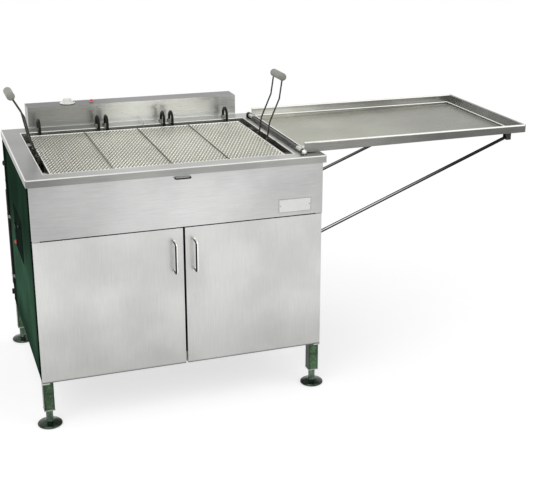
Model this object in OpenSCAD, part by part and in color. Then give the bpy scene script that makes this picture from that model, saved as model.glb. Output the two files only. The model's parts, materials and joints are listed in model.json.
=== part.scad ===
// Floor-standing donut fryer: an open kettle in a stainless deck, a frying screen with two lift
// handles, electric heating elements, a cabinet with two doors and a hinged drain tray on struts.
// +X right, +Y back, +Z up. The origin is on the floor, under the middle of the whole object.

/* [Deck and kettle] */
// Height of the deck's top above the floor
deck_h = 944; // [900:1:1000]
// Height of the folded lip round the deck
lip_h = 27; // [20:1:40]
// Thickness of the sheet metal
sheet = 2; // [1.2:0.1:3]
// Width of the kettle's opening
kettle_w = 920; // [760:1:1080]
// Depth of the kettle's opening, front to back
kettle_d = 640; // [540:1:760]
// Width of the deck's ledge at the left of the kettle
left_ledge = 68; // [58:1:90]
// Width of the deck's ledge in front of the kettle
front_ledge = 61; // [55:1:75]
// Width of the deck's ledge at the right of the kettle
right_ledge = 104; // [95:1:140]
// Width of the deck's ledge behind the kettle
back_ledge = 81; // [78:1:120]
// Height of the kettle, from its floor to the deck
kettle_h = 230; // [190:1:260]

/* [Cabinet] */
// How far the cabinet stands in from the deck's edges
inset = 10; // [6:1:20]
// Depth of the cabinet, front to back
cabinet_d = 855; // [840:1:950]
// Height of the fascia, from the seam over the doors to the deck's top
fascia_h = 225; // [185:1:260]
// Height of the gap at that seam
seam_gap = 4; // [3.2:0.1:6]
// Height of the doors' lower edges above the floor
door_bottom = 182; // [150:1:240]
// Thickness of a door
door_t = 14; // [12:0.5:14.5]
// Gap between the two doors
door_gap = 8; // [4:1:14]
// Width of a door's folded edge
door_fold = 16; // [14:1:30]
// Radius of a door's pivot pins
pivot_r = 4; // [3:0.1:5]
// Length of a door's pivot pins inside the door
pivot_l = 20; // [12:1:30]
// Height of a door handle's bow
bow_h = 124; // [90:1:160]
// How far a door handle stands out
bow_reach = 34; // [26:1:40]
// Diameter of a door handle's bar
bow_d = 11; // [8:0.5:13]
// Distance from a door's free edge to its handle
bow_from_edge = 34; // [24:1:60]
// Distance from a door's top to its handle
bow_from_top = 43; // [20:1:80]
// Width of the pull under the lip
pull_w = 56; // [40:1:80]
// Diameter of that pull's wire
pull_d = 6; // [4:0.5:8]
// How far that pull stands out
pull_reach = 13; // [10:0.5:20]
// Width and height of the blank plate on the fascia
plate_size = [128, 52]; // [30:1:150]

/* [Frame] */
// Width of a square leg tube
leg_w = 38; // [34:1:45]
// Wall of a leg tube
leg_wall = 2; // [1.5:0.1:3]
// Height of the leg tubes' lower ends above the floor
leg_bottom = 62; // [45:1:90]
// Diameter of a foot's stem
stem_d = 26; // [18:1:28]
// Length of the stem inside its leg
stem_in = 60; // [40:1:90]
// Thickness of the plug above the stem
plug_t = 8; // [4:1:12]
// Diameter of a foot's disc
foot_d = 90; // [70:1:110]
// Height of a foot's rim
foot_rim = 10; // [8:0.5:14]
// Height of a foot's cone
foot_cone = 24; // [18:1:32]
// Rounding of a foot's edges
foot_round = 3; // [1:0.5:4]
// Height of a frame rail
rail_h = 38; // [25:1:50]
// Thickness of a frame rail
rail_t = 20; // [16:1:30]

/* [Rear box] */
// Width of the rear box
box_w = 870; // [700:1:900]
// Depth of the rear box
box_d = 92; // [80:1:110]
// Height of the rear box above the deck
box_h = 81; // [60:1:120]
// Gap between the deck's rear edge and the box
box_behind = 3; // [1:0.5:6]
// Diameter of the thermostat dial
dial_d = 62; // [50:1:70]
// Height of the thermostat dial
dial_h = 18; // [14:1:26]
// Height of the dial's skirt
dial_skirt = 6; // [3:0.5:10]
// Diameter of the knob on the dial
knob_d = 38; // [24:1:46]
// Distance from the box's left end to the dial
dial_x = 166; // [60:1:180]
// Radius of the thermostat's shaft
shaft_r = 3; // [2:0.1:4]
// Diameter of a pilot lamp
lamp_d = 18; // [12:1:22]

/* [Heating elements] */
// Diameter of an element's tube
tube_d = 10.7; // [8:0.1:12]
// Distance from the kettle's side walls to the elements' field
element_side = 56.5; // [40:0.5:80]
// Gap between neighbouring elements' outer runs
element_gap = 35; // [24:1:60]
// Span of the arch over the kettle's back edge
arch_w = 56; // [50:1:60]
// Distance from the kettle's back wall to the elements' legs
arch_in = 16; // [14:1:20]
// Straight height of the arch above the deck
arch_rise = 16; // [12:1:40]
// Height of the elements above the kettle's floor
element_h = 60; // [40:1:100]
// Distance from the kettle's front wall to the elements' front bends
run_clear_front = 20; // [10:1:40]
// Distance from the elements' legs to their rear bends
run_clear_back = 40; // [35:1:80]
// Height of a fitting's nut
nut_h = 9; // [6:0.5:12]
// Width of a terminal block
terminal_w = 28; // [22:1:40]
// Height of a terminal block
terminal_h = 30; // [20:1:32]
// Thickness of a support bar under the elements
support_t = 6; // [4:0.5:10]
// Distance from an element's bends to a support bar
support_in = 90; // [60:1:140]

/* [Frying screen] */
// Gap between the kettle's side walls and the screen
screen_side = 26; // [20:1:40]
// Gap between the kettle's back wall and the screen
screen_back = 29; // [26:1:60]
// How far the screen's top lies below the deck
screen_drop = 10; // [4:1:40]
// Gap between the kettle's front wall and the screen
screen_in = 5; // [2:0.5:10]
// Width of a bracket under the screen
bracket_w = 40; // [25:1:60]
// Thickness of a bracket
bracket_t = 4; // [2:0.5:6]
// Distance from the screen's corners to its brackets
bracket_in = 60; // [20:1:120]
// Height of the screen's edge bars
edge_h = 12; // [10:0.5:20]
// Thickness of the screen's bars
edge_t = 6; // [4:0.5:10]
// Thickness of the mesh
mesh_t = 2; // [1:0.1:4]
// Width of a strand of the mesh
strand = 4; // [2:0.1:6]
// Mesh openings across one bay
bay_cols = 5; // [2:1:5]
// Mesh openings along one bay
bay_rows = 15; // [5:1:15]
// Diameter of a lift handle's wire
wire_d = 6; // [4:0.5:7]
// Distance between a lift handle's two wires
wire_gap = 100; // [90:1:110]
// Diameter of a lift handle's grip
grip_d = 30; // [24:1:36]
// Length of a lift handle's grip
grip_l = 122; // [116:1:150]
// Rounding of a grip's ends
grip_round = 10.5; // [2:0.5:11.5]

/* [Drain tray] */
// Length of the tray's pan, left to right
tray_l = 948; // [800:1:1000]
// How far the tray's front edge lies before the kettle's front wall
tray_front = 8; // [0:1:44]
// How far the tray's back edge lies in front of the kettle's back wall
tray_back = 12; // [0:1:30]
// Height of the tray's pan
tray_h = 38; // [32:1:60]
// How far the tray's floor rises away from the kettle
tray_rise = 8; // [0:1:12]
// Width of the ledge inside the tray
tray_ledge = 36; // [20:1:50]
// Height of the tray's wall above that ledge
tray_wall = 23; // [15:1:28]
// Radius of the tray's hinge rod
rod_r = 5; // [4:0.1:6]
// Length of a knuckle round the hinge rod
knuckle_l = 46; // [30:1:80]
// Distance from the deck's right edge to the hinge rod
rod_x = 76; // [60:1:85]
// Height of the hinge rod above the deck
rod_h = 11; // [10:0.5:16]
// Diameter of a strut
strut_d = 13; // [9:0.5:16]
// Distance from the tray's side to a strut
strut_in = 45; // [40:1:120]
// Distance from the tray's far end to a strut's pivot
lug_x = 56; // [40:1:120]
// Distance from the deck's top down to the struts' lower seats
keeper_drop = 345; // [260:1:460]
// Radius of a strut's pivot pin
lug_r = 5; // [3:0.1:6]
// Distance from the tray's far end down to a strut's pivot
lug_drop = 24; // [18:1:30]

/* [Controls and drain] */
// Middle of the left control plate, from the deck's front edge
panel_y = 460; // [400:1:560]
// Distance from the kettle's floor down to the control plate's top
panel_below = 19; // [14:1:60]
// Width and height of the control plate
panel_size = [250, 170]; // [160:1:260]
// Width and height of the switch's rocker
rocker_size = [15, 26]; // [12:0.5:30]
// Radius of the reset button
button_r = 6; // [5:0.1:8]
// Travel of the reset button
button_travel = 3; // [2:0.1:4]
// Radius of the hole through the cable gland
gland_r = 8; // [5:0.1:11]
// Distance from the cabinet's back to the gland
gland_from_back = 79; // [60:1:120]
// Height of the gland above the shelf
gland_up = 30; // [24:1:60]
// Depth of the contactors' box
contactor_depth = 95; // [70:1:120]
// Distance from the deck's front edge to the drain
drain_y = 150; // [120:1:260]
// Radius of the drain's bore
drain_r = 16; // [10:0.1:19]
// Radius of the drain valve's ball
ball_r = 20; // [19.5:0.1:24]
// Length of the drain valve's lever
lever_l = 120; // [80:1:160]

/* [Hidden] */
$fn = 48;

// Clearances: a running fit, a seat that parts lift off, and a gap round moving pieces
run = 0.05;
seat = 0.3;
gap = 1;
// Small overlap that carries a cut past a face
past = 1;
// How far a ball at a bend stands proud of its wire
proud = 0.4;

// Colours
steel = [0.76, 0.77, 0.75];
pale_steel = [0.84, 0.84, 0.82];
dark_green = [0.17, 0.25, 0.19];
leg_green = [0.30, 0.38, 0.29];
tube_grey = [0.17, 0.18, 0.17];
mesh_beige = [0.69, 0.69, 0.62];
grip_beige = [0.65, 0.66, 0.61];
wire_grey = [0.36, 0.37, 0.34];
black = [0.08, 0.08, 0.08];
white = [0.93, 0.93, 0.91];
red = [0.75, 0.10, 0.08];
brass = [0.72, 0.58, 0.28];
ceramic = [0.88, 0.86, 0.80];

// Deck and cabinet
deck_w = left_ledge + kettle_w + right_ledge;
deck_d = front_ledge + kettle_d + back_ledge;
seam_h = deck_h - fascia_h;
cab_l = inset;
cab_r = deck_w - inset;
cab_back = inset + cabinet_d;
deck_under = deck_h - sheet;
lip_bottom = deck_h - lip_h;
post_top = lip_bottom - sheet;
post_front = inset + door_t + gap;
post_l = cab_l + sheet;
post_r = cab_r - sheet - leg_w;
post_rear = cab_back - sheet - leg_w;
rail_in = 2;
rail_front = post_front + rail_in;
rail_rear = post_rear + leg_w - rail_in - rail_t;
post_end_l = post_l + leg_w;
post_end_front = post_front + leg_w;
bearer_t = 18;
bearer_rear = deck_d - 2 * sheet - bearer_t;
door_top = seam_h - seam_gap / 2;
fascia_bottom = seam_h + seam_gap / 2;
header_h = 25;
shelf_h = door_bottom + rail_h;
middle_x = deck_w / 2;
pull_below = 12;
badge_in = [46, 14];
badge_t = 1;
tab_in = 1;
tab_w = 25;
low_tab_t = 5;
bow_pad = 3;
bow_pad_edge = 2;
catch_from_middle = 16;
catch_size = [30, 24, 20];

// Kettle, elements and screen
kettle_x0 = left_ledge;
kettle_x1 = left_ledge + kettle_w;
kettle_y0 = front_ledge;
kettle_y1 = front_ledge + kettle_d;
kettle_floor = deck_h - kettle_h;
kettle_mid = kettle_x0 + kettle_w / 2;
arch_front = kettle_y1 - arch_in;
arch_rear = arch_front + arch_w;
arch_z = deck_h + arch_rise;
run_z = kettle_floor + element_h;
element_pitch = (kettle_w - 2 * element_side) / 3;
run_pitch = (element_pitch - element_gap) / 3;
element_w = 3 * run_pitch;
run_front = kettle_y0 + run_pitch / 2 + run_clear_front;
run_back = arch_front - run_pitch / 2 - run_clear_back;
drop_bend = 30;
tube_fn = 24;
support_end = 10;
element_middles = [for (i = [-1 : 1]) kettle_mid + i * element_pitch];
element_ends = [for (m = element_middles) for (s = [-1, 1]) m + s * element_w / 2];
nut_wall = 5.5;
terminal_gap = 4;
terminal_below = 16;
terminal_z = deck_under - terminal_below;
terminal_drop = deck_h - terminal_z + terminal_h + sheet;
screen_w = kettle_w - 2 * screen_side;
screen_d = kettle_d - screen_in - screen_back;
screen_top = deck_h - screen_drop;
screen_bottom = screen_top - edge_h;
screen_x0 = kettle_mid - screen_w / 2;
screen_x1 = kettle_mid + screen_w / 2;
screen_y0 = kettle_y0 + screen_in;
screen_mid_y = screen_y0 + screen_d / 2;
bays = 4;
mesh_z = screen_top - mesh_t;
bay_w = (screen_w - 2 * edge_t) / bays;

// Lift handles, left and right: the wire's corners, measured outwards and up from its pivot
ear_out = 6;
ear_t = 6;
ear_up = 6;
ear_gap = gap;
ear_low = 2;
ear_top = 7;
stop_t = 3;
stop_z = 10;
ear_in = wire_gap / 2 + wire_d / 2 + ear_gap;
pin_end = ear_in + ear_t;
handle_z = screen_top + ear_up;
wire_paths = [
    [[0, 0], [24, 66], [41, 153], [78, 220]],
    [[0, 0], [10, 67], [50, 159], [61, 232]]
];
grip_at = [[83, 230], [63, 243]];
handle_pivot = [screen_x0 - ear_out, screen_x1 + ear_out];
function first_lean(side) = atan2(wire_paths[side][1].x, wire_paths[side][1].y);

// Tray
rod_at = [deck_w - rod_x, deck_h + rod_h];
knuckle_wall = 3;
knuckle_r = rod_r + knuckle_wall;
tray_x0 = rod_at.x + knuckle_r;
tray_x1 = tray_x0 + tray_l;
tray_y0 = kettle_y0 - tray_front;
tray_y1 = kettle_y1 - tray_back;
tray_d = tray_y1 - tray_y0;
tray_low = rod_at.y - knuckle_r;
tray_top = tray_low + tray_h;
tray_lip = 13;
knuckle_in = 4;
hinge_ear = 12;
lug_at = [tray_x1 - lug_x, tray_low + tray_rise - lug_drop];
strut_y = [tray_y0 + strut_in, tray_y1 - strut_in];
eye_wall = 4;
eye_r = lug_r + eye_wall;
eye_side = 2;
eye_w = strut_d + 2 * eye_side;
tip_d = strut_d + 2 * past;
lug_half = eye_r + eye_side;
lug_t = 4;
keeper_t = 4;
keeper_h = deck_h - keeper_drop;
keeper_wall = 14;
keeper_edge = 10;
keeper_plate = 54;
keeper_out = 20;
strut_tip = [cab_r + keeper_t + tip_d / 2 + seat, keeper_h + tip_d / 2 + seat];
function tray_under(x) = tray_low + tray_rise * (x - tray_x0) / tray_l;

// Rear box
box_x0 = middle_x - box_w / 2;
box_x1 = middle_x + box_w / 2;
box_y0 = deck_d + box_behind;
box_y1 = box_y0 + box_d;
box_top = deck_h + box_h;
dial_at = [box_x0 + dial_x, box_y0 + box_d / 2];
dial_cap = 4;
thermostat = [50, 44, 36];
box_lamp = dial_at + [100, 6];
lamp_rim = 4;
lamp_edge = 2;
probe_from_middle = 32;
probe_x = kettle_mid + probe_from_middle;
probe_l = 150;
probe_in = 7;
probe_up = 26;
capillary_up = 14;
probe_r = 4;
capillary_r = 1.5;
probe_y = kettle_y1 - probe_in;
probe_z = run_z + probe_up;
capillary_z = deck_h + capillary_up;

// Left controls
panel_h = kettle_floor - panel_below - panel_size.y / 2;
plate_t = 1.5;
rocker_from_middle = 80;
button_from_middle = [100, 60];
lamp_below = 60;
plate_x = cab_l - plate_t;
rocker_at = [panel_y + rocker_from_middle, panel_h];
button_at = [panel_y - button_from_middle.x, panel_h + button_from_middle.y];
side_lamp = [panel_y + rocker_from_middle, panel_h - lamp_below];
bezel_t = 4;
rocker_t = 5;
rocker_pin = 2;
rocker_tilt = 14;
window = rocker_size + [2 * seat, 2];
bezel_edge = 5;
pin_in = 2;
cutout_edge = 2;
bush_l = 6;
bush_wall = 4;
button_out = button_travel + 1;
gland_at = [cab_back - gland_from_back, shelf_h + gland_up];
gland_out = 14;
gland_flange = 5;
gland_in = 12;
gland_wall = 3.7;
contactor_x = post_l + contactor_depth;
contactor_size = [52, 48, 78];
contactor_pitch = 62;
box_edge = 8;

// Drain
drain_at = [kettle_mid, drain_y];
pipe_wall = 5;
pipe_l = 52;
valve_h = 70;
valve_top = kettle_floor - sheet - pipe_l;
valve_z = valve_top - valve_h / 2;
valve_wall = 10;
valve_r = ball_r + valve_wall;
spigot_l = 30;
flange_t = 5;
stem_r = 5;
hub_wall = 8;
hub_t = 10;
hub_gap = 4;
lever_w = 18;
lever_t = 4;
lever_y = drain_at.y - valve_r - hub_gap;

// The whole object's middle, which the origin stands under
reach_l = min(handle_pivot[0] - grip_at[0].x - grip_d / 2, post_l + leg_w / 2 - foot_d / 2);
reach_front = inset - bow_reach - bow_d / 2;
reach_back = max(box_y1, post_rear + leg_w / 2 + foot_d / 2);
mid_x = (reach_l + tray_x1) / 2;
mid_y = (reach_front + reach_back) / 2;

// Shapes that repeat
module placed() {
    translate([-mid_x, -mid_y, 0]) children();
}

module block(a, b) {
    translate(a) cube(b - a);
}

module rod(p, q, d) {
    v = q - p;
    translate(p) rotate([0, acos(v.z / norm(v)), atan2(v.y, v.x)]) cylinder(d = d, h = norm(v));
}

module along_y(p, r, l) {
    translate(p) rotate([-90, 0, 0]) cylinder(r = r, h = l);
}

module along_x(p, r, l) {
    translate(p) rotate([0, 90, 0]) cylinder(r = r, h = l);
}

module tube_arc(r, a) {
    rotate_extrude(angle = a, $fn = tube_fn) translate([r, 0]) circle(d = tube_d, $fn = tube_fn);
}

module right_side() {
    translate([deck_w, 0, 0]) mirror([1, 0, 0]) children();
}

// Deck and kettle
module deck() {
    color(steel) placed() difference() {
        block([0, 0, lip_bottom], [deck_w, deck_d, deck_h]);
        block([sheet, sheet, lip_bottom - past], [deck_w - sheet, deck_d - sheet, deck_under]);
        block([kettle_x0, kettle_y0, lip_bottom], [kettle_x1, kettle_y1, deck_h + past]);
        for (x = element_ends)
            translate([x, arch_rear, lip_bottom]) cylinder(d = tube_d + 2 * seat, h = lip_h + past);
    }
}

module kettle() {
    color(pale_steel) placed() difference() {
        block([kettle_x0 - sheet, kettle_y0 - sheet, kettle_floor - sheet],
              [kettle_x1 + sheet, kettle_y1 + sheet, deck_under]);
        block([kettle_x0, kettle_y0, kettle_floor], [kettle_x1, kettle_y1, deck_h]);
        translate([drain_at.x, drain_at.y, kettle_floor - 2 * sheet]) cylinder(r = drain_r, h = 4 * sheet);
    }
}

// Frame: rails at two levels between the legs, a header over the doors and the deck's bearers
module rail_ring(z) {
    for (y = [rail_front, rail_rear])
        block([post_end_l, y, z], [post_r, y + rail_t, z + rail_h]);
    for (x = [post_l + rail_in, deck_w - post_l - rail_in - rail_t])
        block([x, post_end_front, z], [x + rail_t, post_rear, z + rail_h]);
}

module frame_rails() {
    color(steel) placed() {
        rail_ring(door_bottom);
        rail_ring(post_top - rail_h);
        block([post_end_l, rail_front, fascia_bottom + sheet],
              [post_r, rail_front + rail_t, fascia_bottom + sheet + header_h]);
        for (y = [rail_front, bearer_rear])
            block([post_l, y, post_top + seat], [deck_w - post_l, y + bearer_t, deck_under]);
        for (x = [post_l, deck_w - post_l - bearer_t])
            block([x, rail_front + bearer_t + seat, post_top + seat],
                  [x + bearer_t, bearer_rear - seat, deck_under]);
    }
}

module bottom_shelf() {
    color(steel) placed() difference() {
        block([post_l, rail_front, shelf_h], [deck_w - post_l, cab_back - sheet, shelf_h + sheet]);
        for (x = [post_l, post_r])
            for (y = [post_front, post_rear])
                block([x - gap, y - gap, shelf_h - past],
                      [x + leg_w + gap, y + leg_w + gap, shelf_h + sheet + past]);
    }
}

// Legs and levelling feet
module leg(x, y) {
    color(leg_green) placed() difference() {
        block([x, y, leg_bottom], [x + leg_w, y + leg_w, post_top]);
        block([x + leg_wall, y + leg_wall, leg_bottom + stem_in + plug_t],
              [x + leg_w - leg_wall, y + leg_w - leg_wall, post_top - leg_wall]);
        translate([x + leg_w / 2, y + leg_w / 2, leg_bottom - past])
            cylinder(d = stem_d + 2 * run, h = stem_in + past + gap);
    }
}

module foot(x, y) {
    r = foot_d / 2;
    color(leg_green) placed() translate([x + leg_w / 2, y + leg_w / 2, 0]) rotate_extrude()
        polygon([
            [0, 0], [r - foot_round, 0], [r, foot_round],
            [r, foot_rim - foot_round], [r - foot_round, foot_rim],
            [stem_d / 2 + foot_round, foot_cone - 2 * foot_round], [stem_d / 2, foot_cone],
            [stem_d / 2, leg_bottom + stem_in], [0, leg_bottom + stem_in]
        ]);
}

module leg_front_left() leg(post_l, post_front);
module leg_front_right() leg(post_r, post_front);
module leg_rear_left() leg(post_l, post_rear);
module leg_rear_right() leg(post_r, post_rear);
module foot_front_left() foot(post_l, post_front);
module foot_front_right() foot(post_r, post_front);
module foot_rear_left() foot(post_l, post_rear);
module foot_rear_right() foot(post_r, post_rear);

// Panels: high under the deck, and lower behind it
module side_sheet() {
    translate([cab_l, 0, 0]) rotate([90, 0, 90]) linear_extrude(sheet) polygon([
        [post_front, door_bottom], [cab_back, door_bottom], [cab_back, post_top],
        [deck_d - 2 * sheet, post_top], [deck_d - 2 * sheet, deck_under - sheet],
        [post_front, deck_under - sheet]
    ]);
}

module left_side_panel() {
    color(dark_green) placed() difference() {
        side_sheet();
        translate([cab_l - past, rocker_at.x, rocker_at.y])
            block([0, -window.x / 2 - cutout_edge, -window.y / 2 - cutout_edge],
                  [sheet + 2 * past, window.x / 2 + cutout_edge, window.y / 2 + cutout_edge]);
        along_x([cab_l - past, button_at.x, button_at.y], button_r + cutout_edge, sheet + 2 * past);
        along_x([cab_l - past, gland_at.x, gland_at.y], gland_r + gland_wall + seat, sheet + 2 * past);
    }
}

module right_side_panel() {
    color(dark_green) placed() right_side() side_sheet();
}

module back_panel() {
    color(steel) placed()
        block([post_l, cab_back - sheet, door_bottom], [deck_w - post_l, cab_back, post_top]);
}

module rear_ledge() {
    color(steel) placed() block([cab_l, deck_d, post_top], [cab_r, cab_back, lip_bottom]);
}

module front_fascia() {
    color(pale_steel) placed() difference() {
        block([cab_l, inset, fascia_bottom], [cab_r, post_front, deck_under - sheet]);
        block([cab_l + sheet, inset + sheet, fascia_bottom + sheet],
              [cab_r - sheet, post_front + past, deck_under - 2 * sheet]);
    }
}

module name_plate() {
    x = cab_r - badge_in.x - plate_size.x;
    z = fascia_bottom + badge_in.y;
    color(white) placed() block([x, inset - badge_t, z], [x + plate_size.x, inset, z + plate_size.y]);
}

module fascia_pull() {
    bend = pull_d;
    half = pull_w / 2;
    color(wire_grey) placed() translate([middle_x, inset - pull_reach, lip_bottom - pull_below])
        for (s = [0, 1]) mirror([s, 0, 0]) {
            rod([0, 0, 0], [half - bend, 0, 0], pull_d);
            translate([half - bend, bend, 0]) rotate([0, 0, -90])
                rotate_extrude(angle = 90) translate([bend, 0]) circle(d = pull_d);
            rod([half, bend, 0], [half, pull_reach, 0], pull_d);
        }
}

// Doors: folded pans on pivot pins
module door_pivots() {
    axis_x = cab_l + door_t / 2;
    axis_y = inset + door_t / 2;
    tab_t = seam_gap - gap;
    color(steel) placed() for (s = [0, 1]) mirror_if(s) {
        block([cab_l + tab_in, inset + tab_in, door_bottom - gap - low_tab_t],
              [cab_l + tab_in + tab_w, post_front, door_bottom - gap]);
        translate([axis_x, axis_y, door_bottom - gap - past])
            cylinder(r = pivot_r, h = gap + past + pivot_l);
        block([cab_l + tab_in, inset + tab_in, fascia_bottom - tab_t],
              [cab_l + tab_in + tab_w, post_front, fascia_bottom]);
        translate([axis_x, axis_y, door_top - pivot_l]) cylinder(r = pivot_r, h = pivot_l + gap + past);
    }
}

module mirror_if(s) {
    if (s == 1) right_side() children();
    else children();
}

module door() {
    x0 = cab_l + door_t / 2;
    x1 = middle_x - door_gap / 2;
    h = door_top - door_bottom;
    difference() {
        union() {
            block([x0, inset, door_bottom], [x1, inset + door_t, door_top]);
            translate([x0, inset + door_t / 2, door_bottom]) cylinder(d = door_t, h = h);
        }
        block([x0 + door_fold, inset + sheet, door_bottom + door_fold],
              [x1 - door_fold, inset + door_t + past, door_top - door_fold]);
        for (z = [door_bottom - past, door_top - pivot_l - gap])
            translate([x0, inset + door_t / 2, z]) cylinder(r = pivot_r + run, h = pivot_l + gap + past);
    }
}

module door_handle() {
    x = middle_x - door_gap / 2 - bow_from_edge;
    z1 = door_top - bow_from_top;
    z0 = z1 - bow_h;
    bend = bow_d;
    y = inset - bow_reach;
    for (s = [0, 1]) translate([x, 0, (z0 + z1) / 2]) mirror([0, 0, s]) {
        rod([0, inset, bow_h / 2 - bow_d / 2], [0, y + bend, bow_h / 2 - bow_d / 2], bow_d);
        translate([0, y + bend, bow_h / 2 - bow_d / 2 - bend]) rotate([90, 0, 90]) rotate([0, 0, 90])
            rotate_extrude(angle = 90) translate([bend, 0]) circle(d = bow_d);
        rod([0, y, bow_h / 2 - bow_d / 2 - bend], [0, y, 0], bow_d);
        along_y([0, inset - bow_pad, bow_h / 2 - bow_d / 2], bow_d / 2 + bow_pad_edge, bow_pad);
    }
}

module left_door() {
    color(pale_steel) placed() door();
}

module right_door() {
    color(pale_steel) placed() right_side() door();
}

module left_door_handle() {
    color(steel) placed() door_handle();
}

module right_door_handle() {
    color(steel) placed() right_side() door_handle();
}

module door_catches() {
    x = middle_x - catch_from_middle;
    y = post_front + seat;
    z = fascia_bottom + sheet;
    color(black) placed() for (s = [0, 1]) mirror_if(s)
        block([x - catch_size.x, y, z - catch_size.z], [x, y + catch_size.y, z]);
}

// Rear box and its thermostat
module rear_box() {
    color(steel) placed() difference() {
        block([box_x0, box_y0, lip_bottom], [box_x1, box_y1 - sheet, box_top]);
        block([box_x0 + sheet, box_y0 + sheet, lip_bottom + sheet],
              [box_x1 - sheet, box_y1, box_top - sheet]);
        translate([dial_at.x, dial_at.y, box_top - 2 * sheet]) cylinder(r = shaft_r + seat, h = 4 * sheet);
        along_y([probe_x, box_y0 - past, capillary_z], capillary_r + seat, 3 * sheet);
    }
}

module rear_box_cover() {
    color(steel) placed() block([box_x0, box_y1 - sheet, lip_bottom], [box_x1, box_y1, box_top]);
}

module thermostat_body() {
    color(ceramic) placed() translate([dial_at.x, dial_at.y, 0]) {
        block([-thermostat.x / 2, -thermostat.y / 2, box_top - sheet - thermostat.z],
              [thermostat.x / 2, thermostat.y / 2, box_top - sheet]);
        translate([0, 0, box_top - sheet - past])
            cylinder(r = shaft_r, h = sheet + past + dial_h - dial_cap);
    }
}

module thermostat_dial() {
    color(white) placed() translate([dial_at.x, dial_at.y, box_top + seat]) difference() {
        union() {
            cylinder(d = dial_d, h = dial_skirt);
            cylinder(d = knob_d, h = dial_h);
        }
        translate([0, 0, -past]) cylinder(r = shaft_r + run, h = past + dial_h - dial_cap + seat);
    }
}

module thermostat_probe() {
    top = [probe_x, probe_y, capillary_z];
    bulb = [probe_x, probe_y, probe_z];
    color(brass) placed() {
        along_x(bulb - [probe_l, 0, 0], probe_r, probe_l);
        translate(bulb) sphere(d = 2 * probe_r + proud);
        rod(bulb, top, 2 * capillary_r);
        translate(top) sphere(d = 2 * capillary_r + proud);
        rod(top, [probe_x, box_y0 + capillary_up, capillary_z], 2 * capillary_r);
    }
}

module lamp() {
    r = lamp_d / 2;
    cylinder(r = r, h = lamp_rim);
    intersection() {
        translate([0, 0, lamp_rim - past]) sphere(r = r - lamp_edge);
        cylinder(r = r, h = lamp_d);
    }
}

module pilot_lamps() {
    color(red) placed() {
        translate([box_lamp.x, box_lamp.y, box_top]) lamp();
        translate([plate_x, side_lamp.x, side_lamp.y]) rotate([0, -90, 0]) lamp();
    }
}

// Heating elements: each rises from the deck, arches into the kettle and runs to and fro above its floor
module heating_element(m) {
    $fn = tube_fn;
    color(tube_grey) placed() {
        for (s = [-1, 1]) translate([m + s * element_w / 2, 0, 0]) {
            rod([0, arch_rear, deck_h - terminal_drop], [0, arch_rear, arch_z], tube_d);
            translate([0, arch_front + arch_w / 2, arch_z]) rotate([90, 0, 90]) tube_arc(arch_w / 2, 180);
            rod([0, arch_front, run_z + drop_bend], [0, arch_front, arch_z], tube_d);
            translate([0, arch_front - drop_bend, run_z + drop_bend])
                rotate([90, 0, 90]) rotate([0, 0, -90]) tube_arc(drop_bend, 90);
            rod([0, run_front, run_z], [0, arch_front - drop_bend, run_z], tube_d);
        }
        for (s = [-1, 1]) {
            x = m + s * run_pitch / 2;
            translate([m + s * run_pitch, run_front, run_z])
                rotate([0, 0, 180]) tube_arc(run_pitch / 2, 180);
            rod([x, run_front, run_z], [x, run_back, run_z], tube_d);
        }
        translate([m, run_back, run_z]) tube_arc(run_pitch / 2, 180);
    }
}

module heating_element_left() heating_element(element_middles[0]);
module heating_element_middle() heating_element(element_middles[1]);
module heating_element_right() heating_element(element_middles[2]);

module element_fittings() {
    color(brass) placed() for (x = element_ends) translate([x, arch_rear, deck_h]) difference() {
        cylinder(d = tube_d + 2 * nut_wall, h = nut_h, $fn = 6);
        translate([0, 0, -past]) cylinder(d = tube_d + 2 * seat, h = nut_h + 2 * past);
    }
}

module element_terminals() {
    color(ceramic) placed() for (x = element_ends) difference() {
        block([x - terminal_w / 2, arch_rear - tube_d / 2 - seat - terminal_gap, terminal_z - terminal_h],
              [x + terminal_w / 2, bearer_rear, terminal_z]);
        translate([x, arch_rear, terminal_z - terminal_h - past])
            cylinder(d = tube_d + 2 * seat, h = terminal_h + 2 * past);
    }
}

module element_supports() {
    top = run_z - tube_d / 2 - seat;
    color(steel) placed() for (y = [run_front + support_in, run_back - support_in])
        block([kettle_x0 + support_end, y, kettle_floor], [kettle_x1 - support_end, y + support_t, top]);
}

// Frying screen with its lift handles
module screen_brackets() {
    reach = screen_x0 + edge_t + bracket_t;
    top = screen_bottom - seat;
    color(steel) placed() for (y = [screen_y0 + bracket_in, screen_y0 + screen_d - bracket_in - bracket_w])
        for (x = [[kettle_x0, reach], [2 * kettle_mid - reach, kettle_x1]])
            block([x[0], y, top - bracket_t], [x[1], y + bracket_w, top]);
}

module screen_ear(side) {
    lean = first_lean(side);
    stop_x = stop_z * tan(lean) + wire_d / 2 / cos(lean) + seat;
    for (s = [0, 1]) mirror([0, s, 0]) difference() {
        union() {
            block([-ear_out, ear_in, -ear_up - edge_h], [ear_out, ear_in + ear_t, ear_top]);
            block([stop_x, wire_gap / 2 - wire_d / 2, ear_low], [stop_x + stop_t, ear_in + ear_t, stop_z]);
            block([0, ear_in, ear_low], [stop_x + stop_t, ear_in + ear_t, ear_top]);
        }
        along_y([0, wire_gap / 2, 0], wire_d / 2 + run, wire_d + ear_gap + ear_t);
    }
}

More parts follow.
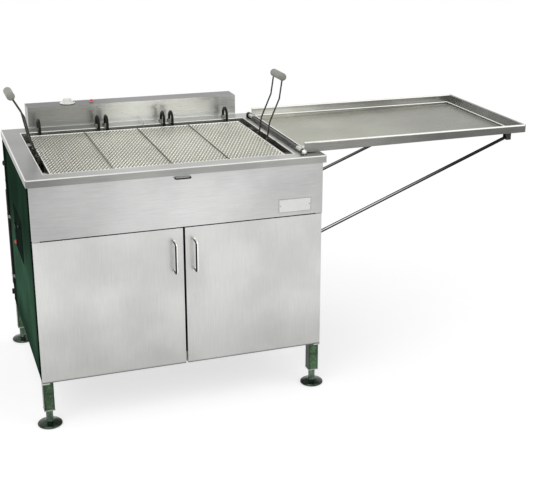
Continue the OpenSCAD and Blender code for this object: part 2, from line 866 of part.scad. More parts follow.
module frying_screen_frame() {
    color(wire_grey) placed() {
        difference() {
            block([screen_x0, screen_y0, screen_bottom], [screen_x1, screen_y0 + screen_d, screen_top]);
            block([screen_x0 + edge_t, screen_y0 + edge_t, screen_bottom - past],
                  [screen_x1 - edge_t, screen_y0 + screen_d - edge_t, screen_top + past]);
        }
        for (i = [1 : bays - 1]) translate([screen_x0 + edge_t + i * bay_w - edge_t / 2, screen_y0, 0])
            block([0, edge_t / 2, screen_bottom], [edge_t, screen_d - edge_t / 2, mesh_z]);
        translate([handle_pivot[1], screen_mid_y, handle_z]) screen_ear(1);
        translate([handle_pivot[0], screen_mid_y, handle_z]) mirror([1, 0, 0]) screen_ear(0);
    }
}

module frying_screen_mesh() {
    inner_d = screen_d - 2 * edge_t;
    hole_w = (bay_w - strand) / bay_cols;
    hole_d = (inner_d - strand) / bay_rows;
    color(mesh_beige) placed() translate([screen_x0 + edge_t, screen_y0 + edge_t, mesh_z])
        linear_extrude(mesh_t) difference() {
            square([bays * bay_w, inner_d]);
            for (b = [0 : bays - 1])
                for (i = [0 : bay_cols - 1])
                    for (j = [0 : bay_rows - 1])
                        translate([b * bay_w + strand + i * hole_w, strand + j * hole_d])
                            square([hole_w - strand, hole_d - strand]);
        }
}

// A lift handle's own frame: x outwards, y along the screen's end, z up, from its pivot
module on_handle(side) {
    placed() translate([handle_pivot[side], screen_mid_y, handle_z]) mirror([1 - side, 0, 0])
        children();
}

module handle_wire(side, y) {
    p = [for (q = wire_paths[side]) [q.x, y, q.y]];
    for (i = [0 : len(p) - 2]) rod(p[i], p[i + 1], wire_d);
    for (i = [0 : len(p) - 2]) translate(p[i]) sphere(d = wire_d + proud);
    along_y([0, y > 0 ? y : -pin_end, 0], wire_d / 2, pin_end - wire_gap / 2);
}

module lift_handle(side) {
    color(wire_grey) on_handle(side) {
        handle_wire(side, -wire_gap / 2);
        handle_wire(side, wire_gap / 2);
    }
}

module handle_grip(side) {
    r = grip_d / 2;
    path = wire_paths[side];
    last = len(path) - 1;
    color(grip_beige) on_handle(side) difference() {
        translate([grip_at[side].x, 0, grip_at[side].y]) rotate([90, 0, 0]) rotate_extrude() intersection() {
            translate([-r, -grip_l / 2]) offset(grip_round) offset(-grip_round) square([2 * r, grip_l]);
            translate([0, -grip_l]) square([r, 2 * grip_l]);
        }
        for (y = [-wire_gap / 2, wire_gap / 2])
            rod([path[last - 1].x, y, path[last - 1].y],
                [path[last].x, y, path[last].y + seat], wire_d + 2 * seat);
    }
}

module left_lift_handle() lift_handle(0);
module right_lift_handle() lift_handle(1);
module left_handle_grip() handle_grip(0);
module right_handle_grip() handle_grip(1);

// Drain tray: a stepped pan with a low lip at the kettle, hung on a rod
module tray_prism(y0, y1, outline) {
    translate([0, y1, 0]) rotate([90, 0, 0]) linear_extrude(y1 - y0) polygon(outline);
}

module drain_tray() {
    ledge_z = tray_top - tray_wall;
    inner = sheet + tray_ledge;
    color(steel) placed() difference() {
        union() {
            tray_prism(tray_y0, tray_y1, [
                [tray_x0, tray_low], [tray_x1, tray_low + tray_rise],
                [tray_x1, tray_top], [tray_x0, tray_top]
            ]);
            for (y = [tray_y0 + knuckle_in, tray_y1 - knuckle_in - knuckle_l]) {
                along_y([rod_at.x, y, rod_at.y], knuckle_r, knuckle_l);
                block([rod_at.x, y, rod_at.y], [tray_x0 + past, y + knuckle_l, rod_at.y + rod_r]);
            }
        }
        tray_prism(tray_y0 + sheet, tray_y1 - sheet, [
            [tray_x0 - past, ledge_z], [tray_x1 - sheet, ledge_z],
            [tray_x1 - sheet, tray_top + past], [tray_x0 - past, tray_top + past]
        ]);
        tray_prism(tray_y0 + inner, tray_y1 - inner, [
            [tray_x0 + sheet, tray_under(tray_x0 + sheet) + sheet],
            [tray_x1 - inner, tray_under(tray_x1 - inner) + sheet],
            [tray_x1 - inner, tray_top], [tray_x0 + sheet, tray_top]
        ]);
        for (y = [tray_y0 + sheet, tray_y1 - inner + sheet])
            tray_prism(y, y + tray_ledge - sheet, [
                [tray_x0 + sheet, tray_low - past], [tray_x1 - sheet, tray_low - past],
                [tray_x1 - sheet, ledge_z - sheet], [tray_x0 + sheet, ledge_z - sheet]
            ]);
        tray_prism(tray_y0 + sheet, tray_y1 - sheet, [
            [tray_x1 - inner + sheet, tray_low - past], [tray_x1 - sheet, tray_low - past],
            [tray_x1 - sheet, ledge_z - sheet], [tray_x1 - inner + sheet, ledge_z - sheet]
        ]);
        block([tray_x0 - past, tray_y0 + inner, tray_low + tray_lip],
              [tray_x0 + 2 * sheet, tray_y1 - inner, tray_top + past]);
        along_y([rod_at.x, tray_y0, rod_at.y], rod_r + run, tray_d);
    }
}

module tray_hinge() {
    y0 = tray_y0 - knuckle_in - hinge_ear;
    y1 = tray_y1 + knuckle_in;
    r = knuckle_r + knuckle_wall;
    color(wire_grey) placed() {
        along_y([rod_at.x, y0, rod_at.y], rod_r, y1 + hinge_ear - y0);
        for (y = [y0, y1]) {
            block([rod_at.x - r, y, deck_h], [rod_at.x + r, y + hinge_ear, rod_at.y]);
            along_y([rod_at.x, y, rod_at.y], r, hinge_ear);
        }
    }
}

module tray_lugs() {
    top = tray_under(lug_at.x - lug_half) - run;
    side = eye_w / 2 + gap / 2;
    color(wire_grey) placed() for (y = strut_y) translate([0, y, 0]) {
        for (s = [-1, 1])
            block([lug_at.x - lug_half, s > 0 ? side : -side - lug_t, lug_at.y - lug_half],
                  [lug_at.x + lug_half, s > 0 ? side + lug_t : -side, top]);
        block([lug_at.x - lug_half, -side - lug_t, top - lug_t], [lug_at.x + lug_half, side + lug_t, top]);
        along_y([lug_at.x, -side - past, lug_at.y], lug_r, 2 * side + 2 * past);
    }
}

module tray_strut(y) {
    tip = [strut_tip.x, y, strut_tip.y];
    eye = [lug_at.x, y, lug_at.y];
    color(wire_grey) placed() difference() {
        union() {
            rod(tip, eye, strut_d);
            translate(tip) sphere(d = tip_d);
            along_y(eye - [0, eye_w / 2, 0], eye_r, eye_w);
        }
        along_y(eye - [0, eye_w, 0], lug_r + run, 2 * eye_w);
    }
}

module tray_strut_front() tray_strut(strut_y[0]);
module tray_strut_rear() tray_strut(strut_y[1]);

module strut_keepers() {
    half = tip_d / 2 + gap;
    side = half + keeper_t;
    x1 = keeper_t + keeper_out;
    color(wire_grey) placed() for (y = strut_y) translate([cab_r, y, keeper_h]) {
        block([0, -side - keeper_edge, -keeper_plate / 2],
              [keeper_t, side + keeper_edge, keeper_plate / 2]);
        block([keeper_t, -side, -keeper_t], [x1, side, 0]);
        for (s = [-1, 1])
            block([keeper_t, s > 0 ? half : -side, 0], [x1, s > 0 ? side : -half, keeper_wall]);
    }
}

// Drain under the kettle: pipe, ball valve and lever
module drain_pipe() {
    color(pale_steel) placed() translate([drain_at.x, drain_at.y, valve_top]) difference() {
        union() {
            cylinder(r = drain_r + pipe_wall, h = pipe_l);
            translate([0, 0, pipe_l - flange_t]) cylinder(r = drain_r + 2 * pipe_wall, h = flange_t);
        }
        translate([0, 0, -past]) cylinder(r = drain_r, h = pipe_l + 2 * past);
    }
}

module drain_valve_body() {
    color(brass) placed() translate([drain_at.x, drain_at.y, valve_z]) difference() {
        union() {
            translate([0, 0, -valve_h / 2]) cylinder(r = valve_r, h = valve_h);
            translate([0, 0, -valve_h / 2 - spigot_l])
                cylinder(r = drain_r + pipe_wall, h = spigot_l + past);
        }
        translate([0, 0, -valve_h]) cylinder(r = drain_r, h = 2 * valve_h);
        sphere(r = ball_r + seat);
        along_y([0, -valve_r - past, 0], stem_r + run, valve_r);
    }
}

module valve_ball() {
    color(steel) placed() translate([drain_at.x, drain_at.y, valve_z]) {
        difference() {
            sphere(r = ball_r);
            along_x([-2 * ball_r, 0, 0], drain_r, 4 * ball_r);
        }
        along_y([0, -valve_r - hub_gap - hub_t, 0], stem_r, valve_r + hub_gap + hub_t - ball_r + past);
    }
}

module valve_lever() {
    color(red) placed() translate([drain_at.x, lever_y, valve_z]) difference() {
        union() {
            along_y([0, -hub_t, 0], stem_r + hub_wall, hub_t);
            block([0, -hub_t, -lever_w / 2], [lever_l, lever_t - hub_t, lever_w / 2]);
        }
        along_y([0, -hub_t - past, 0], stem_r + run, hub_t + 2 * past);
    }
}

// Controls on the left side, the cable's gland and the contactors behind them
module control_plate() {
    color(black) placed() difference() {
        union() {
            block([plate_x, panel_y - panel_size.x / 2, panel_h - panel_size.y / 2],
                  [cab_l, panel_y + panel_size.x / 2, panel_h + panel_size.y / 2]);
            translate([0, rocker_at.x, rocker_at.y])
                block([plate_x - bezel_t, -window.x / 2 - bezel_edge, -window.y / 2 - bezel_edge],
                      [cab_l, window.x / 2 + bezel_edge, window.y / 2 + bezel_edge]);
            along_x([plate_x - bush_l, button_at.x, button_at.y], button_r + bush_wall, bush_l + plate_t);
        }
        block([plate_x - bezel_t - past, rocker_at.x - window.x / 2, rocker_at.y - window.y / 2],
              [cab_l + past, rocker_at.x + window.x / 2, rocker_at.y + window.y / 2]);
        along_y([plate_x - bezel_t / 2, rocker_at.x - window.x / 2 - pin_in - past, rocker_at.y],
                rocker_pin / 2 + run, window.x + 2 * pin_in + 2 * past);
        along_x([plate_x - bush_l - past, button_at.x, button_at.y],
                button_r + run, bush_l + plate_t + 2 * past);
    }
}

module power_rocker() {
    color(red) placed() translate([plate_x - bezel_t / 2, rocker_at.x, rocker_at.y]) {
        rotate([0, -rocker_tilt / 2, 0])
            block([-rocker_t / 2, -rocker_size.x / 2, -rocker_size.y / 2],
                  [rocker_t / 2, rocker_size.x / 2, rocker_size.y / 2]);
        along_y([0, -window.x / 2 - pin_in, 0], rocker_pin / 2, window.x + 2 * pin_in);
    }
}

module reset_button() {
    color(white) placed()
        along_x([plate_x - bush_l - button_out, button_at.x, button_at.y],
                button_r, button_out + bush_l + plate_t);
}

module cable_gland() {
    color(black) placed() translate([cab_l, gland_at.x, gland_at.y]) difference() {
        union() {
            along_x([-gland_flange, 0, 0], gland_r + 2 * gland_wall, gland_flange);
            along_x([-gland_out, 0, 0], gland_r + gland_wall, gland_out + sheet + gland_in);
        }
        along_x([-gland_out - past, 0, 0], gland_r, gland_out + sheet + gland_in + 2 * past);
    }
}

module contactor_box() {
    y0 = panel_y - panel_size.x / 2 - box_edge;
    y1 = panel_y + panel_size.x / 2 + box_edge;
    z0 = panel_h - panel_size.y / 2 - box_edge;
    z1 = panel_h + panel_size.y / 2 + box_edge;
    color(steel) placed() difference() {
        block([post_l, y0, z0], [contactor_x, y1, z1]);
        block([post_l - past, y0 + sheet, z0 + sheet], [contactor_x - sheet, y1 - sheet, z1 - sheet]);
    }
}

module contactors() {
    color(black) placed() for (i = [-1 : 1])
        translate([contactor_x - sheet, panel_y + i * contactor_pitch, panel_h])
            block([-contactor_size.x, -contactor_size.y / 2, -contactor_size.z / 2],
                  [0, contactor_size.y / 2, contactor_size.z / 2]);
}

deck();
kettle();
frame_rails();
bottom_shelf();
leg_front_left();
leg_front_right();
leg_rear_left();
leg_rear_right();
foot_front_left();
foot_front_right();
foot_rear_left();
foot_rear_right();
left_side_panel();
right_side_panel();
back_panel();
rear_ledge();
front_fascia();
name_plate();
fascia_pull();
door_pivots();
door_catches();
left_door();
right_door();
left_door_handle();
right_door_handle();
rear_box();
rear_box_cover();
thermostat_body();
thermostat_dial();
thermostat_probe();
pilot_lamps();
heating_element_left();
heating_element_middle();
heating_element_right();
element_fittings();
element_terminals();
element_supports();
screen_brackets();
frying_screen_frame();
frying_screen_mesh();
left_lift_handle();
right_lift_handle();
left_handle_grip();
right_handle_grip();
drain_tray();
tray_hinge();
tray_lugs();
tray_strut_front();
tray_strut_rear();
strut_keepers();
drain_pipe();
drain_valve_body();
valve_ball();
valve_lever();
control_plate();
power_rocker();
reset_button();
cable_gland();
contactor_box();
contactors();
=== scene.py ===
# %% [markdown]
# # A donut fryer, dressed
# The imported CAD model already holds every solid of the fryer in its place, so this script only
# gives the solids their finishes and adds what is too fine for CAD, such as the woven frying screen.
# The model is loaded first. Nothing added later may reach out of it.

# %% Load the imported model
import json
import math

import bmesh
import bpy
from mathutils import Matrix, Vector


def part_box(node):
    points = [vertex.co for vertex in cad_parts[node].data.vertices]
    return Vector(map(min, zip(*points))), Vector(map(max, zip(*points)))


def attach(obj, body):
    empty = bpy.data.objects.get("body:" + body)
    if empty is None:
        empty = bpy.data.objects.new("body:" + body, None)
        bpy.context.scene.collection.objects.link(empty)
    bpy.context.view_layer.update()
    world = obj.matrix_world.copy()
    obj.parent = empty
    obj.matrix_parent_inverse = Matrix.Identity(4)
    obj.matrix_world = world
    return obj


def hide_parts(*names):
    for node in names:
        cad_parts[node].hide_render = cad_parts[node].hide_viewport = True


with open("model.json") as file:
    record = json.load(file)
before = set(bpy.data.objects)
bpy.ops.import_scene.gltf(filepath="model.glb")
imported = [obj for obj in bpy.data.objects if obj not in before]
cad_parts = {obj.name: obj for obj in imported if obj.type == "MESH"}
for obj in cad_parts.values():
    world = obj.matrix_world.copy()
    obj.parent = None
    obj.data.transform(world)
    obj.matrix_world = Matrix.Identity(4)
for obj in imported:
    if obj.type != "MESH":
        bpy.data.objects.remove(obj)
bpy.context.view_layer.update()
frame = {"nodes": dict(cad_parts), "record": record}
nodes = frame["nodes"]

# %% [markdown]
# ## The camera
# The photograph was taken from the front left, a little above the deck. A camera can be placed by
# eye, but here its place, turn and lens were fitted to the deck's corners and the feet. The picture
# is a crop, so the lens's axis isn't in its middle, and the two shifts make up for that.

# %% Camera
PICTURE_W, PICTURE_H = 535, 500
FOCAL_PX = 1082.459
AXIS_PX = (305.46, 231.487)
SENSOR_MM = 36
EYE = Vector((-1.3466, -4.03235, 1.9575))
TURN, RISE, ROLL = (math.radians(angle) for angle in (-20.948, 18.653, 0.673))

level = math.cos(RISE)
back = Vector((math.sin(TURN) * level, -math.cos(TURN) * level, math.sin(RISE)))
level_right = (-back).cross(Vector((0, 0, 1))).normalized()
level_up = back.cross(level_right)
right = level_right * math.cos(ROLL) + level_up * math.sin(ROLL)
up = level_up * math.cos(ROLL) - level_right * math.sin(ROLL)

lens = bpy.data.cameras.new("camera")
lens.sensor_width = SENSOR_MM
lens.lens = FOCAL_PX / PICTURE_W * SENSOR_MM
lens.shift_x = (PICTURE_W / 2 - AXIS_PX[0]) / PICTURE_W
lens.shift_y = (AXIS_PX[1] - PICTURE_H / 2) / PICTURE_W
camera = bpy.data.objects.new("camera", lens)
camera.matrix_world = Matrix.Translation(EYE) @ Matrix((right, up, back)).transposed().to_4x4()
bpy.context.scene.collection.objects.link(camera)
bpy.context.scene.camera = camera
bpy.context.scene.view_settings.view_transform = "Standard"
print("lens", round(lens.lens, 2), "mm")

# %% [markdown]
# ## Shader nodes
# Every finish below is a small tree of shader nodes. Writing out each node and link takes many
# lines, so one helper adds a node, sets its options and fills or joins its inputs.

# %% Helpers for shader trees
def wire(tree, kind, inputs=(), **options):
    """Adds one shader node. An input that is given a socket is joined to it."""
    made = tree.nodes.new("ShaderNode" + kind)
    for option, value in options.items():
        setattr(made, option, value)
    for key, value in dict(inputs).items():
        if isinstance(value, bpy.types.NodeSocket):
            tree.links.new(value, made.inputs[key])
        else:
            made.inputs[key].default_value = value
    return made


def new_finish(name):
    """A material with its tree and its Principled shader."""
    material = bpy.data.materials.new(name)
    material.use_nodes = True
    tree = material.node_tree
    return material, tree, tree.nodes["Principled BSDF"]


def times(tree, *values):
    """Multiplies any number of sockets or numbers."""
    total = values[0]
    for value in values[1:]:
        total = wire(tree, "Math", {0: total, 1: value}, operation="MULTIPLY").outputs[0]
    return total


def spread(tree, value, low, high, start=0.3, end=0.7):
    """Maps what lies between start and end, as most of a noise does, to a range."""
    inputs = {"Value": value, "From Min": start, "From Max": end, "To Min": low, "To Max": high}
    return wire(tree, "MapRange", inputs, interpolation_type="SMOOTHSTEP").outputs[0]


# %% [markdown]
# ## Studio
# The photograph's background is white, with a soft grey shadow. The world is white to the camera
# and in reflections, and weaker as a light. More lamps would also whiten the floor, but they would
# bleach the steel, so the floor glows a little for the camera and for reflections alone. It keeps the
# shadow near the fryer and fades away further out, so that it has no edge.

# %% World
WHITE = (1, 1, 1, 1)
SKY_LIGHT = 0.78


def larger(tree, first, second):
    """The larger of two sockets."""
    return wire(tree, "Math", {0: first, 1: second}, operation="MAXIMUM").outputs[0]


def seen_rays(tree):
    """One for rays that show the background, zero for rays that light the object."""
    rays = wire(tree, "LightPath").outputs
    mirrored = larger(tree, rays["Is Glossy Ray"], rays["Is Transmission Ray"])
    return larger(tree, rays["Is Camera Ray"], mirrored)


world = bpy.data.worlds.new("studio")
bpy.context.scene.world = world
world.use_nodes = True
sky = world.node_tree
background = sky.nodes["Background"].inputs
background["Color"].default_value = WHITE
strength = wire(sky, "MapRange", {"Value": seen_rays(sky), "To Min": SKY_LIGHT, "To Max": 1.0})
sky.links.new(strength.outputs[0], background["Strength"])
print("world", world.name, "lights at", SKY_LIGHT)

# %% Floor
FLOOR_GREY, FLOOR_GLOW = (0.54, 0.54, 0.54, 1), 0.57
FLOOR_SIZE, FADE_START, FADE_END = 6, 2.0, 4.5

floor_finish, tree, skin = new_finish("studio_floor")
skin.inputs["Base Color"].default_value = FLOOR_GREY
skin.inputs["Roughness"].default_value = 0.9
skin.inputs["Specular IOR Level"].default_value = 0.0
skin.inputs["Emission Color"].default_value = WHITE
tree.links.new(times(tree, seen_rays(tree), FLOOR_GLOW), skin.inputs["Emission Strength"])
place = wire(tree, "TexCoord").outputs["Object"]
away = wire(tree, "VectorMath", {0: place}, operation="LENGTH").outputs["Value"]
tree.links.new(spread(tree, away, 1.0, 0.0, FADE_START, FADE_END), skin.inputs["Alpha"])

shape = bmesh.new()
bmesh.ops.create_grid(shape, x_segments=1, y_segments=1, size=FLOOR_SIZE)
floor_mesh = bpy.data.meshes.new("studio_floor")
shape.to_mesh(floor_mesh)
shape.free()
floor = bpy.data.objects.new("studio_floor", floor_mesh)
floor.data.materials.append(floor_finish)
bpy.context.scene.collection.objects.link(floor)
print("floor", floor.name, "fades from", FADE_START, "to", FADE_END, "m")

# %% Lamps
LAMP_AIM, LAMP_SIZE = Vector((0, 0, 0.6)), 4.6


def softbox(name, place, power):
    """A large round lamp that is turned towards the fryer."""
    lamp = bpy.data.lights.new(name, "AREA")
    lamp.shape, lamp.size, lamp.energy = "DISK", LAMP_SIZE, power
    lamp_object = bpy.data.objects.new(name, lamp)
    lamp_object.location = place
    lamp_object.rotation_euler = (LAMP_AIM - Vector(place)).to_track_quat("-Z", "Y").to_euler()
    bpy.context.scene.collection.objects.link(lamp_object)


softbox("key", (-2.9, -2.9, 4.4), power=75)
softbox("fill", (3.0, -3.6, 3.6), power=35)

# %% [markdown]
# ## Tone by place and direction
# Under soft light, a sheet looks brighter or darker by what it reflects. Lamps and dark cards round
# the fryer could draw that, but under other light the part would lose it, so the finishes carry it. A
# band changes the tone along an axis, and faces that look one way get a tone of their own.

# %% Helpers for tone
TO_FRONT, TO_LEFT, UPWARDS = (0, -1, 0), (-1, 0, 0), (0, 0, 1)


def dot(tree, first, second):
    """One where two directions are the same, zero where they are square to each other."""
    inputs = {0: first, 1: second}
    return wire(tree, "VectorMath", inputs, operation="DOT_PRODUCT").outputs["Value"]


def scaled(tree, tone, value):
    """A colour that a number darkens or lightens."""
    return wire(tree, "VectorMath", {0: tone, "Scale": value}, operation="SCALE").outputs[0]


def shade(tree, value, coordinates, bands, faces):
    """Multiplies a value by bands (axis, start, end, low, high) and faces (direction, factor)."""
    axes = wire(tree, "SeparateXYZ", {0: coordinates["Object"]}).outputs
    for axis, start, end, low, high in bands:
        value = times(tree, value, spread(tree, axes[axis], low, high, start, end))
    for direction, factor in faces:
        facing = dot(tree, coordinates["Normal"], direction)
        value = times(tree, value, spread(tree, facing, 1.0, factor))
    return value


# %% [markdown]
# ## Brushed stainless steel
# Most of the fryer is folded from stainless sheet, which is ground in one direction. A photograph of
# that grain would tile and stretch, so a noise that is squeezed across the grain draws it instead. A
# broad noise adds the cloudy tone of worn sheet, and a Bevel node rounds each fold's edge. Two pieces
# need more: the tray's floor has a stain of its own tone, and the screen's second set of wires is
# painted darker than its first, as shade from light on one side.

# %% Steel finish
LENGTHWISE_GRAIN = (1, 55, 55)
STAIN_EDGE = 0.004
SMOOTHER, ROUGHER = 0.06, 0.08


def steel(name, tone, along=LENGTHWISE_GRAIN, rough=0.34, grain=0.10, clouds=0.08, fold=0.0015,
          bands=(), faces=(), floor_tone=None, floor_height=0.0, second_set_shade=None):
    """Ground steel. The grain's noise is stretched along the axis that has the lowest scale."""
    material, tree, skin = new_finish(name)
    coordinates = wire(tree, "TexCoord").outputs
    place = coordinates["Object"]
    across = wire(tree, "Mapping", {"Vector": place, "Scale": along}).outputs[0]
    grinding = {"Vector": across, "Scale": 10, "Detail": 5, "Roughness": 0.75}
    lines = wire(tree, "TexNoise", grinding).outputs[0]
    patches = wire(tree, "TexNoise", {"Vector": place, "Scale": 4.5, "Detail": 4}).outputs[0]
    value = times(tree, spread(tree, lines, 1 - grain, 1 + grain),
                  spread(tree, patches, 1 - clouds, 1 + clouds))
    value = shade(tree, value, coordinates, bands, faces)
    # The screen's second set of wires gets a painted shade.
    if second_set_shade:
        wire_set = wire(tree, "Attribute", attribute_name="wire_set").outputs["Fac"]
        value = times(tree, value, spread(tree, wire_set, 1.0, second_set_shade, 0.0, 1.0))
    toned = scaled(tree, tone, value)
    if floor_tone:
        height = wire(tree, "SeparateXYZ", {0: place}).outputs["Z"]
        below = spread(tree, height, 1.0, 0.0, floor_height, floor_height + STAIN_EDGE)
        lying = spread(tree, dot(tree, coordinates["Normal"], UPWARDS), 0.0, 1.0)
        stained = scaled(tree, floor_tone, value)
        mix = {0: times(tree, below, lying), 1: toned, 2: stained}
        toned = wire(tree, "MixRGB", mix).outputs[0]
    tree.links.new(toned, skin.inputs["Base Color"])
    uneven = spread(tree, lines, rough - SMOOTHER, rough + ROUGHER)
    tree.links.new(uneven, skin.inputs["Roughness"])
    skin.inputs["Metallic"].default_value = 1.0
    rounded = wire(tree, "Bevel", {"Radius": fold}, samples=4).outputs[0]
    scratches = {"Height": lines, "Strength": 0.06, "Distance": 0.0006, "Normal": rounded}
    tree.links.new(wire(tree, "Bump", scratches).outputs[0], skin.inputs["Normal"])
    return material


# %% [markdown]
# ## Steel of each piece
# The sheets differ in tone and in the way their grain runs: along most of them, and upright on the
# doors. Bars and wires are drawn, not ground, so their grain is even. One finish for all of them
# would be shorter, but the photograph shows a dull deck, pale doors and lift handles of nearly black
# wire.

# %% Sheet finishes
UPRIGHT_GRAIN = (55, 55, 1)

# The deck's front faces and left end are darker: painted reflection.
deck_steel = steel("deck_steel", (0.47, 0.475, 0.455), faces=[(TO_FRONT, 0.75)],
                   bands=[("X", -0.97, -0.6, 0.62, 1.0)])
# The kettle's upward faces, its floor under the screen, are darker: painted shade.
kettle_steel = steel("kettle_steel", (0.42, 0.42, 0.38), rough=0.36, faces=[(UPWARDS, 0.85)])
# The fascia darkens at its left end and a little to the right: painted reflection.
fascia_steel = steel("fascia_steel", (0.625, 0.63, 0.62),
                     bands=[("X", -0.97, -0.45, 0.70, 1.0), ("X", -0.35, 0.1, 1.0, 0.8)])
# The doors darken towards their foot, a painted reflection, and a thin band paints a dark line of
# shade along their lower edge.
door_steel = steel("door_steel", (0.61, 0.61, 0.595), along=UPRIGHT_GRAIN, grain=0.07,
                   bands=[("Z", 0.2, 0.5, 0.8, 1.0), ("Z", 0.183, 0.189, 0.3, 1.0)])
# The box's top and left end are darker, and it darkens a little to the right: painted reflection.
box_steel = steel("box_steel", (0.68, 0.685, 0.665), rough=0.32, faces=[(UPWARDS, 0.3)],
                  bands=[("X", -0.66, -0.44, 0.50, 1.0), ("X", -0.35, -0.1, 1.0, 0.86)])
# The tray darkens towards its far end and at its very front: painted shade. Its floor's own tone is a
# stain.
tray_steel = steel("tray_steel", (0.60, 0.60, 0.57), rough=0.22, grain=0.14, clouds=0.14,
                   bands=[("X", 0.15, 0.75, 1.0, 0.55), ("Y", -0.3765, -0.3755, 0.42, 1.0)],
                   floor_tone=(0.325, 0.33, 0.25), floor_height=0.957)
inner_steel = steel("inner_steel", (0.50, 0.50, 0.49), rough=0.45)
print("sheet finishes", [m.name for m in bpy.data.materials if m.name.endswith("_steel")])

# %% Bar and wire finishes
COARSE_GRAIN, EVEN_GRAIN, FINE_GRAIN = (20, 20, 20), (30, 30, 30), (40, 40, 40)
EDGE_GRAIN = (1, 30, 30)
BAR_SHADE = (-0.93, -0.37, 0)
ROD_SHADE, ROD_TOP_SHADE = (0.1, -0.77, -0.63), (-0.4, 0.3, 0.87)

bright_bar = steel("bright_bar", (0.94, 0.94, 0.93), along=EVEN_GRAIN, rough=0.18, grain=0.03,
                   faces=[(BAR_SHADE, 0.015)])
# A lighter steel that paints highlights on folds, rims, edge wires and nuts.
painted_highlight_edge = steel("painted_highlight_edge", (0.80, 0.80, 0.77), along=EDGE_GRAIN, rough=0.16, grain=0.05,
                    clouds=0.04)
strut_steel = steel("strut_steel", (0.085, 0.085, 0.08), along=EVEN_GRAIN, rough=0.26, grain=0.08)
# The struts' faces that look down to the front and up get a painted shade, which leaves a painted
# highlight along their middle, and a band paints them nearly black towards the tray.
rod_steel = steel("rod_steel", (0.86, 0.86, 0.84), along=EVEN_GRAIN, rough=0.2, grain=0.05,
                  bands=[("X", 0.25, 0.72, 1.0, 0.05)],
                  faces=[(ROD_SHADE, 0.01), (ROD_TOP_SHADE, 0.15)])
handle_wire = steel("handle_wire", (0.05, 0.05, 0.047), along=FINE_GRAIN, rough=0.28, grain=0.1)
# The screen's second set of wires is darker, a painted shade, and a band darkens it towards its left
# end.
screen_wire = steel("screen_wire", (0.99, 0.985, 0.87), along=COARSE_GRAIN, rough=0.30, grain=0.03,
                    fold=0.0003, bands=[("X", -0.88, -0.5, 0.74, 1.0)], second_set_shade=0.62)
screen_bar = steel("screen_bar", (0.15, 0.15, 0.125), along=COARSE_GRAIN, rough=0.4, grain=0.12)
zinc = steel("zinc", (0.36, 0.36, 0.35), along=EVEN_GRAIN, rough=0.3, grain=0.05)
nickel = steel("nickel", (0.30, 0.295, 0.27), along=EVEN_GRAIN, rough=0.3, grain=0.06)
print("bar and wire finishes, from", bright_bar.name, "to", nickel.name)

# %% [markdown]
# ## Paint, plastic and bare metal
# The side sheets and legs have a satin coat, the grips are moulded, and the elements are dark from
# heat. These finishes share one recipe: a base tone, a speckle and a broad stain that change it a
# little, and a fine bump for the coat's surface. A painted shade darkens the legs and feet along their
# edges: there a second Bevel node's normal turns away from the true one. Bands and faces also paint
# shade on the side sheets, legs and feet.

# %% Recipe of a coat
EDGE_SHADE_TONE, EDGE_START, EDGE_END = 0.3, 0.88, 0.995
COAT_SMOOTHER, COAT_ROUGHER, COAT_EDGE = 0.05, 0.10, 0.001


def coat(name, tone, rough=0.45, metallic=0.0, speckle=0.08, stain=0.12, size=260, bump=0.05,
         gloss=0.5, bands=(), faces=(), painted_edge_shade=0.0):
    """Paint, plastic or cast metal. A larger size makes the speckle finer."""
    material, tree, skin = new_finish(name)
    coordinates = wire(tree, "TexCoord").outputs
    place = coordinates["Object"]
    fine = wire(tree, "TexNoise", {"Vector": place, "Scale": size, "Detail": 3}).outputs[0]
    broad = wire(tree, "TexNoise", {"Vector": place, "Scale": 7, "Detail": 5}).outputs[0]
    value = times(tree, spread(tree, fine, 1 - speckle, 1 + speckle),
                  spread(tree, broad, 1 - stain, 1 + stain))
    value = shade(tree, value, coordinates, bands, faces)
    # Painted shade along the edges, where the Bevel normal turns away from the true one.
    if painted_edge_shade:
        softened = wire(tree, "Bevel", {"Radius": painted_edge_shade}, samples=8).outputs[0]
        flat = dot(tree, softened, wire(tree, "NewGeometry").outputs["Normal"])
        value = times(tree, value, spread(tree, flat, EDGE_SHADE_TONE, 1.0, EDGE_START, EDGE_END))
    tree.links.new(scaled(tree, tone, value), skin.inputs["Base Color"])
    worn = spread(tree, broad, rough - COAT_SMOOTHER, rough + COAT_ROUGHER)
    tree.links.new(worn, skin.inputs["Roughness"])
    skin.inputs["Metallic"].default_value = metallic
    skin.inputs["Specular IOR Level"].default_value = gloss
    rounded = wire(tree, "Bevel", {"Radius": COAT_EDGE}, samples=4).outputs[0]
    uneven = {"Height": fine, "Strength": bump, "Distance": 0.0005, "Normal": rounded}
    tree.links.new(wire(tree, "Bump", uneven).outputs[0], skin.inputs["Normal"])
    return material


# %% Coated and moulded finishes
# The side sheets' bands are painted shade: darker in their upper part and towards the foot, nearly
# black along the front edge and darker towards the rear.
side_enamel = coat("side_enamel", (0.046, 0.106, 0.066), rough=0.6, gloss=0.0, stain=0.18,
                   speckle=0.14,
                   bands=[("Z", 0.46, 0.72, 1.0, 0.36), ("Z", 0.18, 0.34, 0.5, 1.0),
                          ("Y", -0.39, -0.32, 0.08, 1.0), ("Y", 0.27, 0.36, 1.0, 0.3)])
